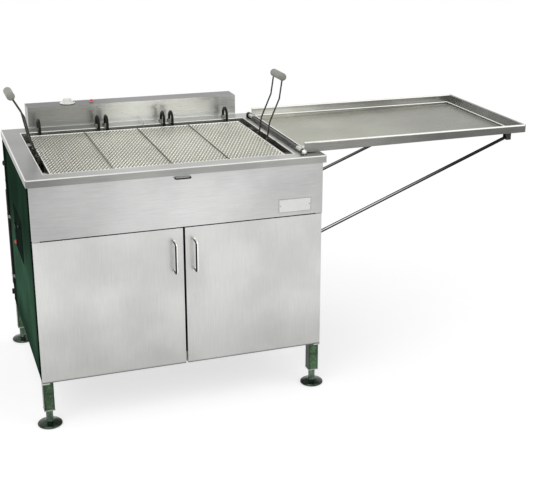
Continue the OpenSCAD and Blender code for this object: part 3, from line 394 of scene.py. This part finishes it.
# The legs' left faces and the feet's tops are darker, a painted shade, besides the painted shade along
# their edges.
leg_enamel = coat("leg_enamel", (0.048, 0.098, 0.048), rough=0.28, metallic=0.6, speckle=0.35,
                  stain=0.3, size=110, faces=[(TO_LEFT, 0.25)], painted_edge_shade=0.014)
foot_coat = coat("foot_coat", (0.085, 0.125, 0.09), rough=0.2, metallic=0.8, speckle=0.35,
                 stain=0.35, size=90, faces=[(UPWARDS, 0.45)], painted_edge_shade=0.004)
sheath = coat("sheath", (0.011, 0.013, 0.010), rough=0.36, metallic=0.3, gloss=0.15, speckle=0.2,
              stain=0.35)
grip_finish = coat("grip_finish", (0.24, 0.245, 0.215), rough=0.45, speckle=0.25, stain=0.12,
                   size=420, bump=0.2)
black_plastic = coat("black_plastic", (0.012, 0.012, 0.012), rough=0.5, gloss=0.25)
white_plastic = coat("white_plastic", (0.80, 0.80, 0.78), rough=0.32, speckle=0.02, stain=0.04)
red_plastic = coat("red_plastic", (0.55, 0.03, 0.02), rough=0.25, speckle=0.03, stain=0.06)
lever_sleeve = coat("lever_sleeve", (0.16, 0.012, 0.010), rough=0.4, gloss=0.3, speckle=0.05,
                    stain=0.1)
plate_coat = coat("plate_coat", (0.012, 0.020, 0.015), rough=0.6, gloss=0.0, stain=0.2)
dark_switch = coat("dark_switch", (0.020, 0.020, 0.020), rough=0.4, gloss=0.1)
brass_finish = coat("brass_finish", (0.48, 0.33, 0.12), rough=0.3, metallic=1.0)
ceramic_finish = coat("ceramic_finish", (0.72, 0.69, 0.60), rough=0.6, speckle=0.05)
print("coats, from", side_enamel.name, "to", ceramic_finish.name)

# %% [markdown]
# ## A finish for every node
# The CAD nodes arrive in plain colours. Each could be dressed on its own line, but a table shows at a
# glance which nodes share a finish. The cell ends by naming any node that was forgotten.

# %% Finishes on the nodes
FINISH = {
    deck_steel: "deck rear_ledge",
    kettle_steel: "kettle screen_brackets element_supports",
    fascia_steel: "front_fascia",
    door_steel: "left_door right_door",
    box_steel: "rear_box rear_box_cover",
    tray_steel: "drain_tray",
    inner_steel: "frame_rails bottom_shelf back_panel door_pivots drain_pipe valve_ball contactor_box"
    " thermostat_probe",
    bright_bar: "left_door_handle right_door_handle",
    strut_steel: "tray_hinge strut_keepers",
    rod_steel: "tray_strut_front tray_strut_rear",
    nickel: "element_fittings",
    handle_wire: "left_lift_handle right_lift_handle fascia_pull tray_lugs",
    screen_bar: "frying_screen_frame",
    screen_wire: "frying_screen_mesh",
    side_enamel: "left_side_panel right_side_panel",
    leg_enamel: "leg_front_left leg_front_right leg_rear_left leg_rear_right",
    foot_coat: "foot_front_left foot_front_right foot_rear_left foot_rear_right",
    sheath: "heating_element_left heating_element_middle heating_element_right",
    grip_finish: "left_handle_grip right_handle_grip",
    black_plastic: "door_catches cable_gland contactors",
    plate_coat: "control_plate",
    dark_switch: "power_rocker reset_button",
    white_plastic: "name_plate thermostat_dial",
    red_plastic: "pilot_lamps",
    lever_sleeve: "valve_lever",
    brass_finish: "drain_valve_body",
    ceramic_finish: "thermostat_body element_terminals",
}
finished = set()
for finish, names in FINISH.items():
    for name in names.split():
        nodes[name].data.materials.clear()
        nodes[name].data.materials.append(finish)
        finished.add(name)
print(len(finished), "nodes finished, without a finish", sorted(set(nodes) - finished))

# %% [markdown]
# ## From a mesh to a piece
# The fine parts are shaped as a bmesh, a mesh that operators cut, spin and bevel. One helper turns its
# faces outwards, gives it a finish and makes it ride on the body that carries it. Another gives the
# corners of a CAD node, so that each piece takes its place from the solid that it sits on.

# %% Helpers for pieces
ORIGIN = Vector((0, 0, 0))


def piece(name, shape, body, finish):
    """Makes a bmesh into a finished piece that rides on a body."""
    bmesh.ops.recalc_face_normals(shape, faces=shape.faces)
    mesh = bpy.data.meshes.new(name)
    shape.to_mesh(mesh)
    shape.free()
    made = bpy.data.objects.new(name, mesh)
    made.data.materials.append(finish)
    bpy.context.scene.collection.objects.link(made)
    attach(made, body)
    return made


def corners_of(name):
    """A CAD node's lowest and highest corners."""
    return [Vector(corner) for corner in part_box(name)]


# %% [markdown]
# ## The frying screen
# The screen is woven wire, laid on the bias, with openings that are long diamonds. It could be a bump
# or a see-through pattern, but those go flat when seen from the side. Here one six-sided wire is
# made, cut at each crossing, bent up and down, and copied across the weave. The second set is the
# first, turned a quarter and upside down, which puts it under where the first is over. An attribute
# numbers the two sets, and the finish darkens the second, as light from one side would. A stretch
# makes the squares into diamonds, and four cuts trim the sheet to the frame.

# %% One wire of the weave
WIRE_SIDES = 6


def wavy_wire(length, cuts, pitch, radius, rise):
    """A mesh of one wire along X that goes up and down by rise at each crossing."""
    single = bmesh.new()
    bmesh.ops.create_cone(single, segments=WIRE_SIDES, radius1=radius, radius2=radius,
                          depth=length, matrix=Matrix.Rotation(math.pi / 2, 4, "Y"))
    long_edges = [e for e in single.edges if e.calc_length() > length / 2]
    bmesh.ops.subdivide_edges(single, edges=long_edges, cuts=cuts)
    for vertex in single.verts:
        vertex.co.z += rise * math.cos(math.pi * vertex.co.x / pitch)
    row = bpy.data.meshes.new("row")
    single.to_mesh(row)
    single.free()
    return row


# %% The woven sheet
def trim(shape, point, outwards):
    """Cuts off what lies outside a plane, and closes the cut wires."""
    everything = shape.verts[:] + shape.edges[:] + shape.faces[:]
    cut = bmesh.ops.bisect_plane(shape, geom=everything, plane_co=point, plane_no=outwards,
                                 clear_outer=True)
    rims = [e for e in cut["geom_cut"] if isinstance(e, bmesh.types.BMEdge)]
    bmesh.ops.holes_fill(shape, edges=rims, sides=WIRE_SIDES)


def woven_sheet(low, high, pitch, radius, rise, stretch):
    """Wires on the bias between two corners, with diamonds drawn out from front to back."""
    middle, span = (low + high) / 2, high - low
    reach = (span.x + span.y / stretch) / math.sqrt(8)
    count = 2 * math.ceil(reach / pitch) + 1
    row = wavy_wire((count + 1) * pitch, count, pitch, radius, rise)
    shape = bmesh.new()
    for layer in (0, 1):
        bias = Matrix.Rotation(math.pi * (0.25 + 0.5 * layer), 3, "Z")
        for i in range(count):
            before = len(shape.verts)
            shape.from_mesh(row)
            shape.verts.ensure_lookup_table()
            added = shape.verts[before:]
            flip = 1 if (i + layer) % 2 else -1
            bmesh.ops.scale(shape, vec=(1, 1, flip), verts=added)
            bmesh.ops.translate(shape, vec=(0, (i - count // 2) * pitch, 0), verts=added)
            bmesh.ops.rotate(shape, matrix=bias, verts=added)
    bpy.data.meshes.remove(row)
    half = len(shape.verts) // 2
    wire_set = shape.verts.layers.float.new("wire_set")
    for i, vertex in enumerate(shape.verts):
        vertex[wire_set] = i // half
    bmesh.ops.scale(shape, vec=(1, stretch, 1), verts=shape.verts)
    bmesh.ops.translate(shape, vec=middle, verts=shape.verts)
    for point, outwards in ((low, (-1, 0, 0)), (low, (0, -1, 0)),
                            (high, (1, 0, 0)), (high, (0, 1, 0))):
        trim(shape, point, outwards)
    return shape


# %% Woven screen
WEAVE = {"pitch": 0.0094, "radius": 0.0018, "rise": 0.0008, "stretch": 2.2}
LIFT = Vector((0, 0, 0.0013))

low, high = corners_of("frying_screen_mesh")
weave_shape = woven_sheet(low + LIFT, high + LIFT, **WEAVE)
weave = piece("woven_screen", weave_shape, "screen", screen_wire)
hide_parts("frying_screen_mesh")
print("woven screen", len(weave.data.polygons), "faces")

# %% [markdown]
# ## Rods, strips and turned parts
# Many of the fryer's fine parts are round rods, folded strips or turned parts. A rod is a cone of
# equal ends that points from one place to another. A strip is a cube stretched to its size, with its
# edges bevelled so that they catch the light. A turned part is an outline that is spun all the way
# round.

# %% Helpers for rods, strips and turned parts
WELD = 0.00001


def rod(shape, start, end, radius, sides=12):
    """A round bar between two points."""
    start, end = Vector(start), Vector(end)
    turn = (end - start).to_track_quat("Z", "Y").to_matrix().to_4x4()
    spot = Matrix.Translation((start + end) / 2) @ turn
    bmesh.ops.create_cone(shape, cap_ends=True, segments=sides, radius1=radius, radius2=radius,
                          depth=(end - start).length, matrix=spot)


def strip(shape, low, high, edge):
    """A block between two corners, with bevelled edges."""
    low, high = Vector(low), Vector(high)
    stretch = Matrix.Translation((low + high) / 2) @ Matrix.Diagonal((*(high - low), 1))
    corners = bmesh.ops.create_cube(shape, size=1, matrix=stretch)["verts"]
    edges = list({e for corner in corners for e in corner.link_edges})
    bmesh.ops.bevel(shape, geom=edges, offset=edge, segments=2, profile=0.5, affect="EDGES",
                    material=-1)


def spun(shape, outline, centre, steps=48):
    """Turns an outline of (radius, height) pairs round an upright axis."""
    corners = [shape.verts.new((radius, 0, height)) for radius, height in outline]
    edges = [shape.edges.new(pair) for pair in zip(corners, corners[1:])]
    bmesh.ops.spin(shape, geom=corners + edges, cent=(0, 0, 0), axis=(0, 0, 1), dvec=(0, 0, 0),
                   angle=math.tau, steps=steps, use_merge=True)
    bmesh.ops.remove_doubles(shape, verts=shape.verts[:], dist=WELD)
    bmesh.ops.translate(shape, vec=centre, verts=shape.verts[:])


def turned(shape, angle, axis, centre):
    """Turns a shape at the origin about an axis, and moves it to its place."""
    bmesh.ops.rotate(shape, matrix=Matrix.Rotation(angle, 3, axis), verts=shape.verts[:])
    bmesh.ops.translate(shape, vec=centre, verts=shape.verts[:])


# %% [markdown]
# ## Rods across the screen
# Three rods lie on the weave and are welded to the frame's sides. They keep the mesh flat when the
# screen is lifted, and they divide it into four bays. Four wires run along its edges, in a lighter
# steel that paints a highlight on them.

# %% Screen rods
BAYS, ROD, ROD_RISE = 4, 0.002, 0.004

low, high = corners_of("frying_screen_mesh")
shape = bmesh.new()
z = high.z + ROD_RISE
for i in range(1, BAYS):
    x = low.x + i * (high.x - low.x) / BAYS
    rod(shape, (x, low.y, z), (x, high.y, z), ROD)
piece("screen_rods", shape, "screen", screen_bar)
print("screen rods", BAYS - 1)

# %% Screen edge wires
EDGE_WIRE, EDGE_RISE = 0.003, 0.001
OVERHANG = 2 * EDGE_WIRE

shape = bmesh.new()
z = high.z + EDGE_RISE
for x in (low.x - EDGE_WIRE, high.x + EDGE_WIRE):
    rod(shape, (x, low.y - OVERHANG, z), (x, high.y + OVERHANG, z), EDGE_WIRE)
for y in (low.y - EDGE_WIRE, high.y + EDGE_WIRE):
    rod(shape, (low.x - OVERHANG, y, z), (high.x + OVERHANG, y, z), EDGE_WIRE)
piece("screen_edge_wires", shape, "screen", painted_highlight_edge)
print("screen", low, high)

# %% [markdown]
# ## Hems of the rear box
# The box's front sheet is folded over at its top and ends, and folded forward at its foot, where it
# lies on the deck. Each fold shows as a bright line, a highlight that a lighter steel paints. The hems
# are rods along the edges, and the foot is a thin strip.

# %% Rear box hems and foot
HEM = 0.0032
FOOT_OUT, FOOT_IN, FOOT_THICK, FOOT_EDGE = 0.012, 0.001, 0.0016, 0.0006

low, high = corners_of("rear_box")
deck_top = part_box("deck")[1][2]
y, z = low.y + HEM, high.z - HEM
shape = bmesh.new()
rod(shape, (low.x + HEM, y, z), (high.x - HEM, y, z), HEM)
for x in (low.x + HEM, high.x - HEM):
    rod(shape, (x, y, deck_top), (x, y, z), HEM)
piece("box_hems", shape, "cabinet", painted_highlight_edge)
shape = bmesh.new()
strip(shape, (low.x, low.y - FOOT_OUT, deck_top),
      (high.x, low.y + FOOT_IN, deck_top + FOOT_THICK), FOOT_EDGE)
piece("box_foot", shape, "cabinet", painted_highlight_edge)
print("rear box", low, high)

# %% [markdown]
# ## Rims of the drain tray
# The tray's walls end in a rolled rim, and a second fold runs along the inner edge of its ledge. The
# folds and the rims of the long sides show as bright lines round the duller floor, drawn in a lighter
# steel that paints them as highlights, and the rim at the far end is drawn in a darker plated finish,
# a painted shade. All of them are rods that follow the tray's sides.

# %% Tray rims
PAN_LENGTH, RIM = 0.948, 0.0038
RIM_IN = RIM / 2

low, high = corners_of("drain_tray")
pan_x, rim_end = high.x - PAN_LENGTH, high.x - RIM
z = high.z - RIM_IN
shape = bmesh.new()
for y in (low.y + RIM_IN, high.y - RIM_IN):
    rod(shape, (pan_x, y, z), (rim_end, y, z), RIM)
piece("tray_rims", shape, "tray", painted_highlight_edge)
shape = bmesh.new()
rod(shape, (rim_end, low.y + RIM_IN, z), (rim_end, high.y - RIM_IN, z), RIM)
piece("tray_end_rim", shape, "tray", zinc)
print("drain tray", low, high)

# %% Tray folds
LEDGE_IN, LEDGE_DOWN, LIP_UP, TRAY_FOLD = 0.0375, 0.023, 0.013, 0.0028

start_x, end_x = pan_x + TRAY_FOLD, high.x - LEDGE_IN
front_y, rear_y = low.y + LEDGE_IN, high.y - LEDGE_IN
ledge_z, lip_z = high.z - LEDGE_DOWN - TRAY_FOLD / 2, low.z + LIP_UP
shape = bmesh.new()
for y in (front_y, rear_y):
    rod(shape, (start_x, y, ledge_z), (end_x, y, ledge_z), TRAY_FOLD)
rod(shape, (end_x, front_y, ledge_z), (end_x, rear_y, ledge_z), TRAY_FOLD)
rod(shape, (start_x, front_y, lip_z), (start_x, rear_y, lip_z), TRAY_FOLD)
piece("tray_folds", shape, "tray", painted_highlight_edge)
print("tray folds from", start_x, "to", end_x)

# %% [markdown]
# ## Nuts of the tray's hinge
# The hinge rod is held by a domed nut at each end. A nut is a six-sided cone with its dome spun from
# half an outline, and it is turned to lie along the rod.

# %% Hinge nuts
NUT, NUT_THICK, NUT_SIDES, DOME_STEPS = 0.0105, 0.005, 6, 20
DOME = [(0.0, 0.0), (0.0085, 0.0), (0.0085, 0.006), (0.0072, 0.0105), (0.0045, 0.0135),
        (0.0, 0.0145)]

low, high = corners_of("tray_hinge")
joints = {joint["name"]: joint for joint in frame["record"]["behaviour"]["joints"]}
hinge_x, _, hinge_z = joints["tray_raise"]["pos_m"]
shape = bmesh.new()
for end, angle in ((low.y, math.pi / 2), (high.y, -math.pi / 2)):
    nut = bmesh.new()
    bmesh.ops.create_cone(nut, cap_ends=True, segments=NUT_SIDES, radius1=NUT, radius2=NUT,
                          depth=NUT_THICK, matrix=Matrix.Translation((0, 0, NUT_THICK / 2)))
    spun(nut, DOME, ORIGIN, DOME_STEPS)
    turned(nut, angle, "X", (hinge_x, end, hinge_z))
    nut_mesh = bpy.data.meshes.new("nut")
    nut.to_mesh(nut_mesh)
    nut.free()
    shape.from_mesh(nut_mesh)
    bpy.data.meshes.remove(nut_mesh)
piece("hinge_nuts", shape, "cabinet", painted_highlight_edge)
print("hinge nuts at", hinge_x, hinge_z)

# %% [markdown]
# ## Folds of the deck
# The deck's sheet is folded down at its front and sides, and its cut-out is folded down round the
# kettle. On the real deck each fold catches the light as a bright line. The CAD deck has sharp edges
# there, so rods that stand a little proud of them make the line, in a lighter steel that paints the
# highlight.

# %% Deck folds
DECK_FOLD, WALL = 0.0026, 0.0015
SUNK = 0.7 * DECK_FOLD

low, high = corners_of("deck")
well_low, well_high = corners_of("kettle")
z = high.z - SUNK
shape = bmesh.new()
rod(shape, (low.x + SUNK, low.y + SUNK, z), (high.x - SUNK, low.y + SUNK, z), DECK_FOLD)
for x in (low.x + SUNK, high.x - SUNK):
    rod(shape, (x, low.y + SUNK, z), (x, high.y - SUNK, z), DECK_FOLD)
for x in (well_low.x + WALL, well_high.x - WALL):
    rod(shape, (x, well_low.y + WALL, z), (x, well_high.y - WALL, z), DECK_FOLD)
for y in (well_low.y + WALL, well_high.y - WALL):
    rod(shape, (well_low.x + WALL, y, z), (well_high.x - WALL, y, z), DECK_FOLD)
piece("deck_folds", shape, "cabinet", painted_highlight_edge)
print("deck", low, high, "kettle", well_low, well_high)

# %% [markdown]
# ## The thermostat dial
# The dial is a moulded knob on a skirt, with a scale and a pointer. The CAD dial is a plain stepped
# disc. Here the skirt is spun from its outline, and the knob is a cone with every second side pressed
# in for grip. The pointer and the marks of the scale are small strips on top.

# %% Dial
SKIRT = [(0.0, 0.0), (0.030, 0.0), (0.031, 0.001), (0.031, 0.003), (0.029, 0.0045), (0.020, 0.006),
         (0.0, 0.006)]
KNOB_SIDES, KNOB_FOOT, KNOB_TOP = 32, 0.0185, 0.0168
KNOB_TALL, KNOB_MIDDLE = 0.012, 0.012
FLUTE_EDGE, FLUTE_DEEP = 0.0007, 0.0008
STEEP = 0.5

low, high = corners_of("thermostat_dial")
dial_foot = Vector(((low.x + high.x) / 2, (low.y + high.y) / 2, low.z))


def bearing(face):
    """The angle at which a side of the knob stands round the dial."""
    spot = face.calc_center_median()
    return math.atan2(spot.y - dial_foot.y, spot.x - dial_foot.x)


shape = bmesh.new()
spun(shape, SKIRT, dial_foot)
knob_spot = Matrix.Translation(dial_foot + Vector((0, 0, KNOB_MIDDLE)))
knob = bmesh.ops.create_cone(shape, cap_ends=True, segments=KNOB_SIDES, radius1=KNOB_FOOT,
                             radius2=KNOB_TOP, depth=KNOB_TALL, matrix=knob_spot)["verts"]
knob_faces = {face for corner in knob for face in corner.link_faces}
sides = sorted((face for face in knob_faces if abs(face.normal.z) < STEEP), key=bearing)
bmesh.ops.inset_individual(shape, faces=sides[::2], thickness=FLUTE_EDGE, depth=-FLUTE_DEEP)
dial_piece = piece("dial_knob", shape, "dial", white_plastic)
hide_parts("thermostat_dial")
print("dial", len(dial_piece.data.polygons), "faces")

# %% Dial marks
MARKS, SWEEP = 15, math.radians(280)
LONG_MARK, SHORT_MARK, MARK_END = 0.006, 0.004, 0.0285
MARK_HALF, MARK_FOOT, MARK_TOP, MARK_EDGE = 0.0005, 0.0046, 0.0056, 0.0002
POINTER_LOW, POINTER_HIGH = (0.002, -0.0012, 0.0172), (0.0155, 0.0012, 0.018)
POINTER_EDGE = 0.0003

shape = bmesh.new()
for i in range(MARKS):
    before = len(shape.verts)
    length = SHORT_MARK if i % 2 else LONG_MARK
    strip(shape, (MARK_END - length, -MARK_HALF, MARK_FOOT), (MARK_END, MARK_HALF, MARK_TOP),
          MARK_EDGE)
    shape.verts.ensure_lookup_table()
    turn = Matrix.Rotation(SWEEP * (i / (MARKS - 1) - 0.5), 3, "Z")
    bmesh.ops.rotate(shape, matrix=turn, verts=shape.verts[before:])
strip(shape, POINTER_LOW, POINTER_HIGH, POINTER_EDGE)
bmesh.ops.translate(shape, vec=dial_foot, verts=shape.verts[:])
piece("dial_marks", shape, "dial", black_plastic)
print("dial marks", MARKS)

# %% [markdown]
# ## Lamp rims and the blank plate's frame
# Each pilot lamp sits in a rim. A plated ring is spun for the lamp on the rear box, and a black ring
# is laid on its side for the one on the control plate. The plate on the fascia is bare, with a raised
# frame of four strips and a rivet at each end. Where two strips cross, one is stepped in a little, so
# that no two of their faces lie in one plane and flicker.

# %% Lamp rims
BULB, RIM_STEPS = 0.009, 32
RIM_OUTLINE = [(BULB, 0.0), (BULB + 0.003, 0.0), (BULB + 0.0025, 0.0022), (BULB + 0.001, 0.003),
               (BULB, 0.0026), (BULB, 0.0)]
PLATE_THICK = 0.0015

low, high = corners_of("pilot_lamps")
box_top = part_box("rear_box")[1][2]
shape = bmesh.new()
spun(shape, RIM_OUTLINE, Vector((high.x - BULB, high.y - BULB, box_top)), RIM_STEPS)
piece("box_lamp_rim", shape, "cabinet", zinc)
plate_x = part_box("left_side_panel")[0][0] - PLATE_THICK
shape = bmesh.new()
spun(shape, RIM_OUTLINE, ORIGIN, RIM_STEPS)
turned(shape, -math.pi / 2, "Y", (plate_x, low.y + BULB, low.z + BULB))
piece("side_lamp_rim", shape, "cabinet", plate_coat)
print("lamps", low, high)

# %% Screw and rivet heads
HEAD_SIDES = 12
# Parts of a head's radius: its height, half of that, its top's radius, and its socket.
HEAD_TALL, HEAD_MIDDLE, HEAD_TOP, SOCKET_IN, SOCKET_DEEP = 0.4, 0.2, 0.75, 0.35, 0.2


def heads(shape, places, outwards, radius):
    """Round heads with a sunk socket, which stand on a surface."""
    outwards = Vector(outwards)
    turn = outwards.to_track_quat("Z", "Y").to_matrix().to_4x4()
    for place in places:
        spot = Matrix.Translation(Vector(place) + outwards * radius * HEAD_MIDDLE) @ turn
        corners = bmesh.ops.create_cone(shape, cap_ends=True, segments=HEAD_SIDES, radius1=radius,
                                        radius2=radius * HEAD_TOP, depth=radius * HEAD_TALL,
                                        matrix=spot)["verts"]
        faces = {face for corner in corners for face in corner.link_faces}
        top = max(faces, key=lambda face: face.calc_center_median().dot(outwards))
        bmesh.ops.inset_individual(shape, faces=[top], thickness=radius * SOCKET_IN,
                                   depth=-radius * SOCKET_DEEP)


# %% Blank plate's rivets and frame
RIVET_IN, RIVET = 0.006, 0.0022
FRAME_WIDE, FRAME_OUT, FRAME_IN, FRAME_EDGE = 0.002, 0.0006, 0.0004, 0.0003
STEP = 0.0001

low, high = corners_of("name_plate")
rivets = [(x, low.y, (low.z + high.z) / 2) for x in (low.x + RIVET_IN, high.x - RIVET_IN)]
shape = bmesh.new()
heads(shape, rivets, TO_FRONT, RIVET)
piece("plate_rivets", shape, "cabinet", zinc)
shape = bmesh.new()
for z in (low.z, high.z - FRAME_WIDE):
    strip(shape, (low.x, low.y - FRAME_OUT, z), (high.x, low.y + FRAME_IN, z + FRAME_WIDE),
          FRAME_EDGE)
for x in (low.x + STEP, high.x - FRAME_WIDE - STEP):
    strip(shape, (x, low.y - FRAME_OUT + STEP, low.z + FRAME_WIDE / 2),
          (x + FRAME_WIDE, low.y + FRAME_IN - STEP, high.z - FRAME_WIDE / 2), FRAME_EDGE)
piece("plate_frame", shape, "cabinet", zinc)
print("plate", low, high)

# %% [markdown]
# ## Leg ends and the left side's cable cover
# Each leg's tube ends above its foot in a thin plated band round the tube, whose light tone paints
# the highlight on the tube's lower edge. On the left side sheet, a black cover hides the wires that
# run up from the gland. It is a bevelled strip that two plated saddles hold. A domed plug closes a
# spare hole above it.

# %% Leg ends
BAND, PROUD = 0.004, 0.0007
BAND_EDGE = PROUD / 3

shape = bmesh.new()
for name in ("leg_front_left", "leg_front_right", "leg_rear_left", "leg_rear_right"):
    low, high = corners_of(name)
    top = low.z + BAND
    for x in (low.x - PROUD, high.x - PROUD):
        strip(shape, (x, low.y - PROUD, low.z), (x + 2 * PROUD, high.y + PROUD, top), BAND_EDGE)
    for y in (low.y - PROUD, high.y - PROUD):
        strip(shape, (low.x, y + STEP, low.z + STEP),
              (high.x, y + 2 * PROUD - STEP, top - STEP), BAND_EDGE)
leg_ends = piece("leg_ends", shape, "cabinet", zinc)
print("leg ends", len(leg_ends.data.polygons), "faces")

# %% Cable cover
GLAND_GAP, COVER_OUT, COVER_IN, COVER_EDGE = 0.02, 0.009, 0.004, 0.003

side_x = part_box("left_side_panel")[0][0]
gland_low, gland_high = corners_of("cable_gland")
cover_foot, cover_top = gland_high.z + GLAND_GAP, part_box("control_plate")[1][2]
shape = bmesh.new()
strip(shape, (side_x - COVER_OUT, gland_low.y + COVER_IN, cover_foot),
      (side_x, gland_high.y - COVER_IN, cover_top), COVER_EDGE)
piece("cable_cover", shape, "cabinet", black_plastic)
print("cable cover", cover_foot, cover_top)

# %% Saddles of the cover
SADDLE_FROM_FOOT, SADDLE_FROM_TOP, SADDLE_TALL = 0.03, 0.12, 0.014
SADDLE_OUT, SADDLE_IN, SADDLE_EDGE = 0.0105, 0.002, 0.0015
EAR_OUT, EAR_WIDE, EAR_EDGE = 0.0016, 0.011, 0.0005

shape = bmesh.new()
for z in (cover_foot + SADDLE_FROM_FOOT, cover_top - SADDLE_FROM_TOP):
    top = z + SADDLE_TALL
    strip(shape, (side_x - SADDLE_OUT, gland_low.y + SADDLE_IN, z),
          (side_x, gland_high.y - SADDLE_IN, top), SADDLE_EDGE)
    strip(shape, (side_x - EAR_OUT, gland_low.y - EAR_WIDE, z),
          (side_x, gland_high.y + EAR_WIDE, top), EAR_EDGE)
saddles = piece("cover_saddles", shape, "cabinet", zinc)
print("saddles", len(saddles.data.polygons), "faces")

# %% Hole plug
PLUG = [(0.0, 0.0), (0.012, 0.0), (0.012, 0.004), (0.010, 0.008), (0.006, 0.0105), (0.0, 0.0115)]
PLUG_ASIDE, PLUG_Z, PLUG_STEPS = 0.008, 0.80, 24

shape = bmesh.new()
spun(shape, PLUG, ORIGIN, PLUG_STEPS)
turned(shape, -math.pi / 2, "Y", (side_x, gland_high.y + PLUG_ASIDE, PLUG_Z))
plug = piece("hole_plug", shape, "cabinet", black_plastic)
print("plug", len(plug.data.polygons), "faces")

# %% [markdown]
# ## Panel screws
# The side sheets, the back sheet and the rear box's cover are screwed to the frame. The screws stand
# in rows along the sheets' edges, an even distance apart. Those of the painted side sheets and of the
# control plate are black, and those at the back are plated.

# %% Side screws
HEAD = 0.005
SIDE_IN, SIDE_FOOT, SIDE_TOP, SIDE_COUNT = 0.019, 0.05, 0.06, 5
PLATE_IN, PLATE_HEAD = 0.01, 0.004


def between(start, end, count):
    """Even places from start to end."""
    return [start + (end - start) * i / (count - 1) for i in range(count)]


shape = bmesh.new()
for name, outwards in (("left_side_panel", (-1, 0, 0)), ("right_side_panel", (1, 0, 0))):
    low, high = corners_of(name)
    x = low.x if outwards[0] < 0 else high.x
    heights = between(low.z + SIDE_FOOT, high.z - SIDE_TOP, SIDE_COUNT)
    for y in (low.y + SIDE_IN, high.y - SIDE_IN):
        heads(shape, [(x, y, z) for z in heights], outwards, HEAD)
low, high = corners_of("control_plate")
corners = [(plate_x, y, z) for y in (low.y + PLATE_IN, high.y - PLATE_IN)
           for z in (low.z + PLATE_IN, high.z - PLATE_IN)]
heads(shape, corners, TO_LEFT, PLATE_HEAD)
side_screws = piece("side_screws", shape, "cabinet", plate_coat)
print("side screws", len(side_screws.data.polygons), "faces")

# %% Back screws
BACK_IN, BACK_END = 0.014, 0.04
BACK_COUNTS = {"back_panel": 7, "rear_box_cover": 6}

shape = bmesh.new()
for name, count in BACK_COUNTS.items():
    low, high = corners_of(name)
    places = between(low.x + BACK_END, high.x - BACK_END, count)
    for z in (low.z + BACK_IN, high.z - BACK_IN):
        heads(shape, [(x, high.y, z) for x in places], (0, 1, 0), HEAD)
back_screws = piece("back_screws", shape, "cabinet", zinc)
print("back screws", len(back_screws.data.polygons), "faces")
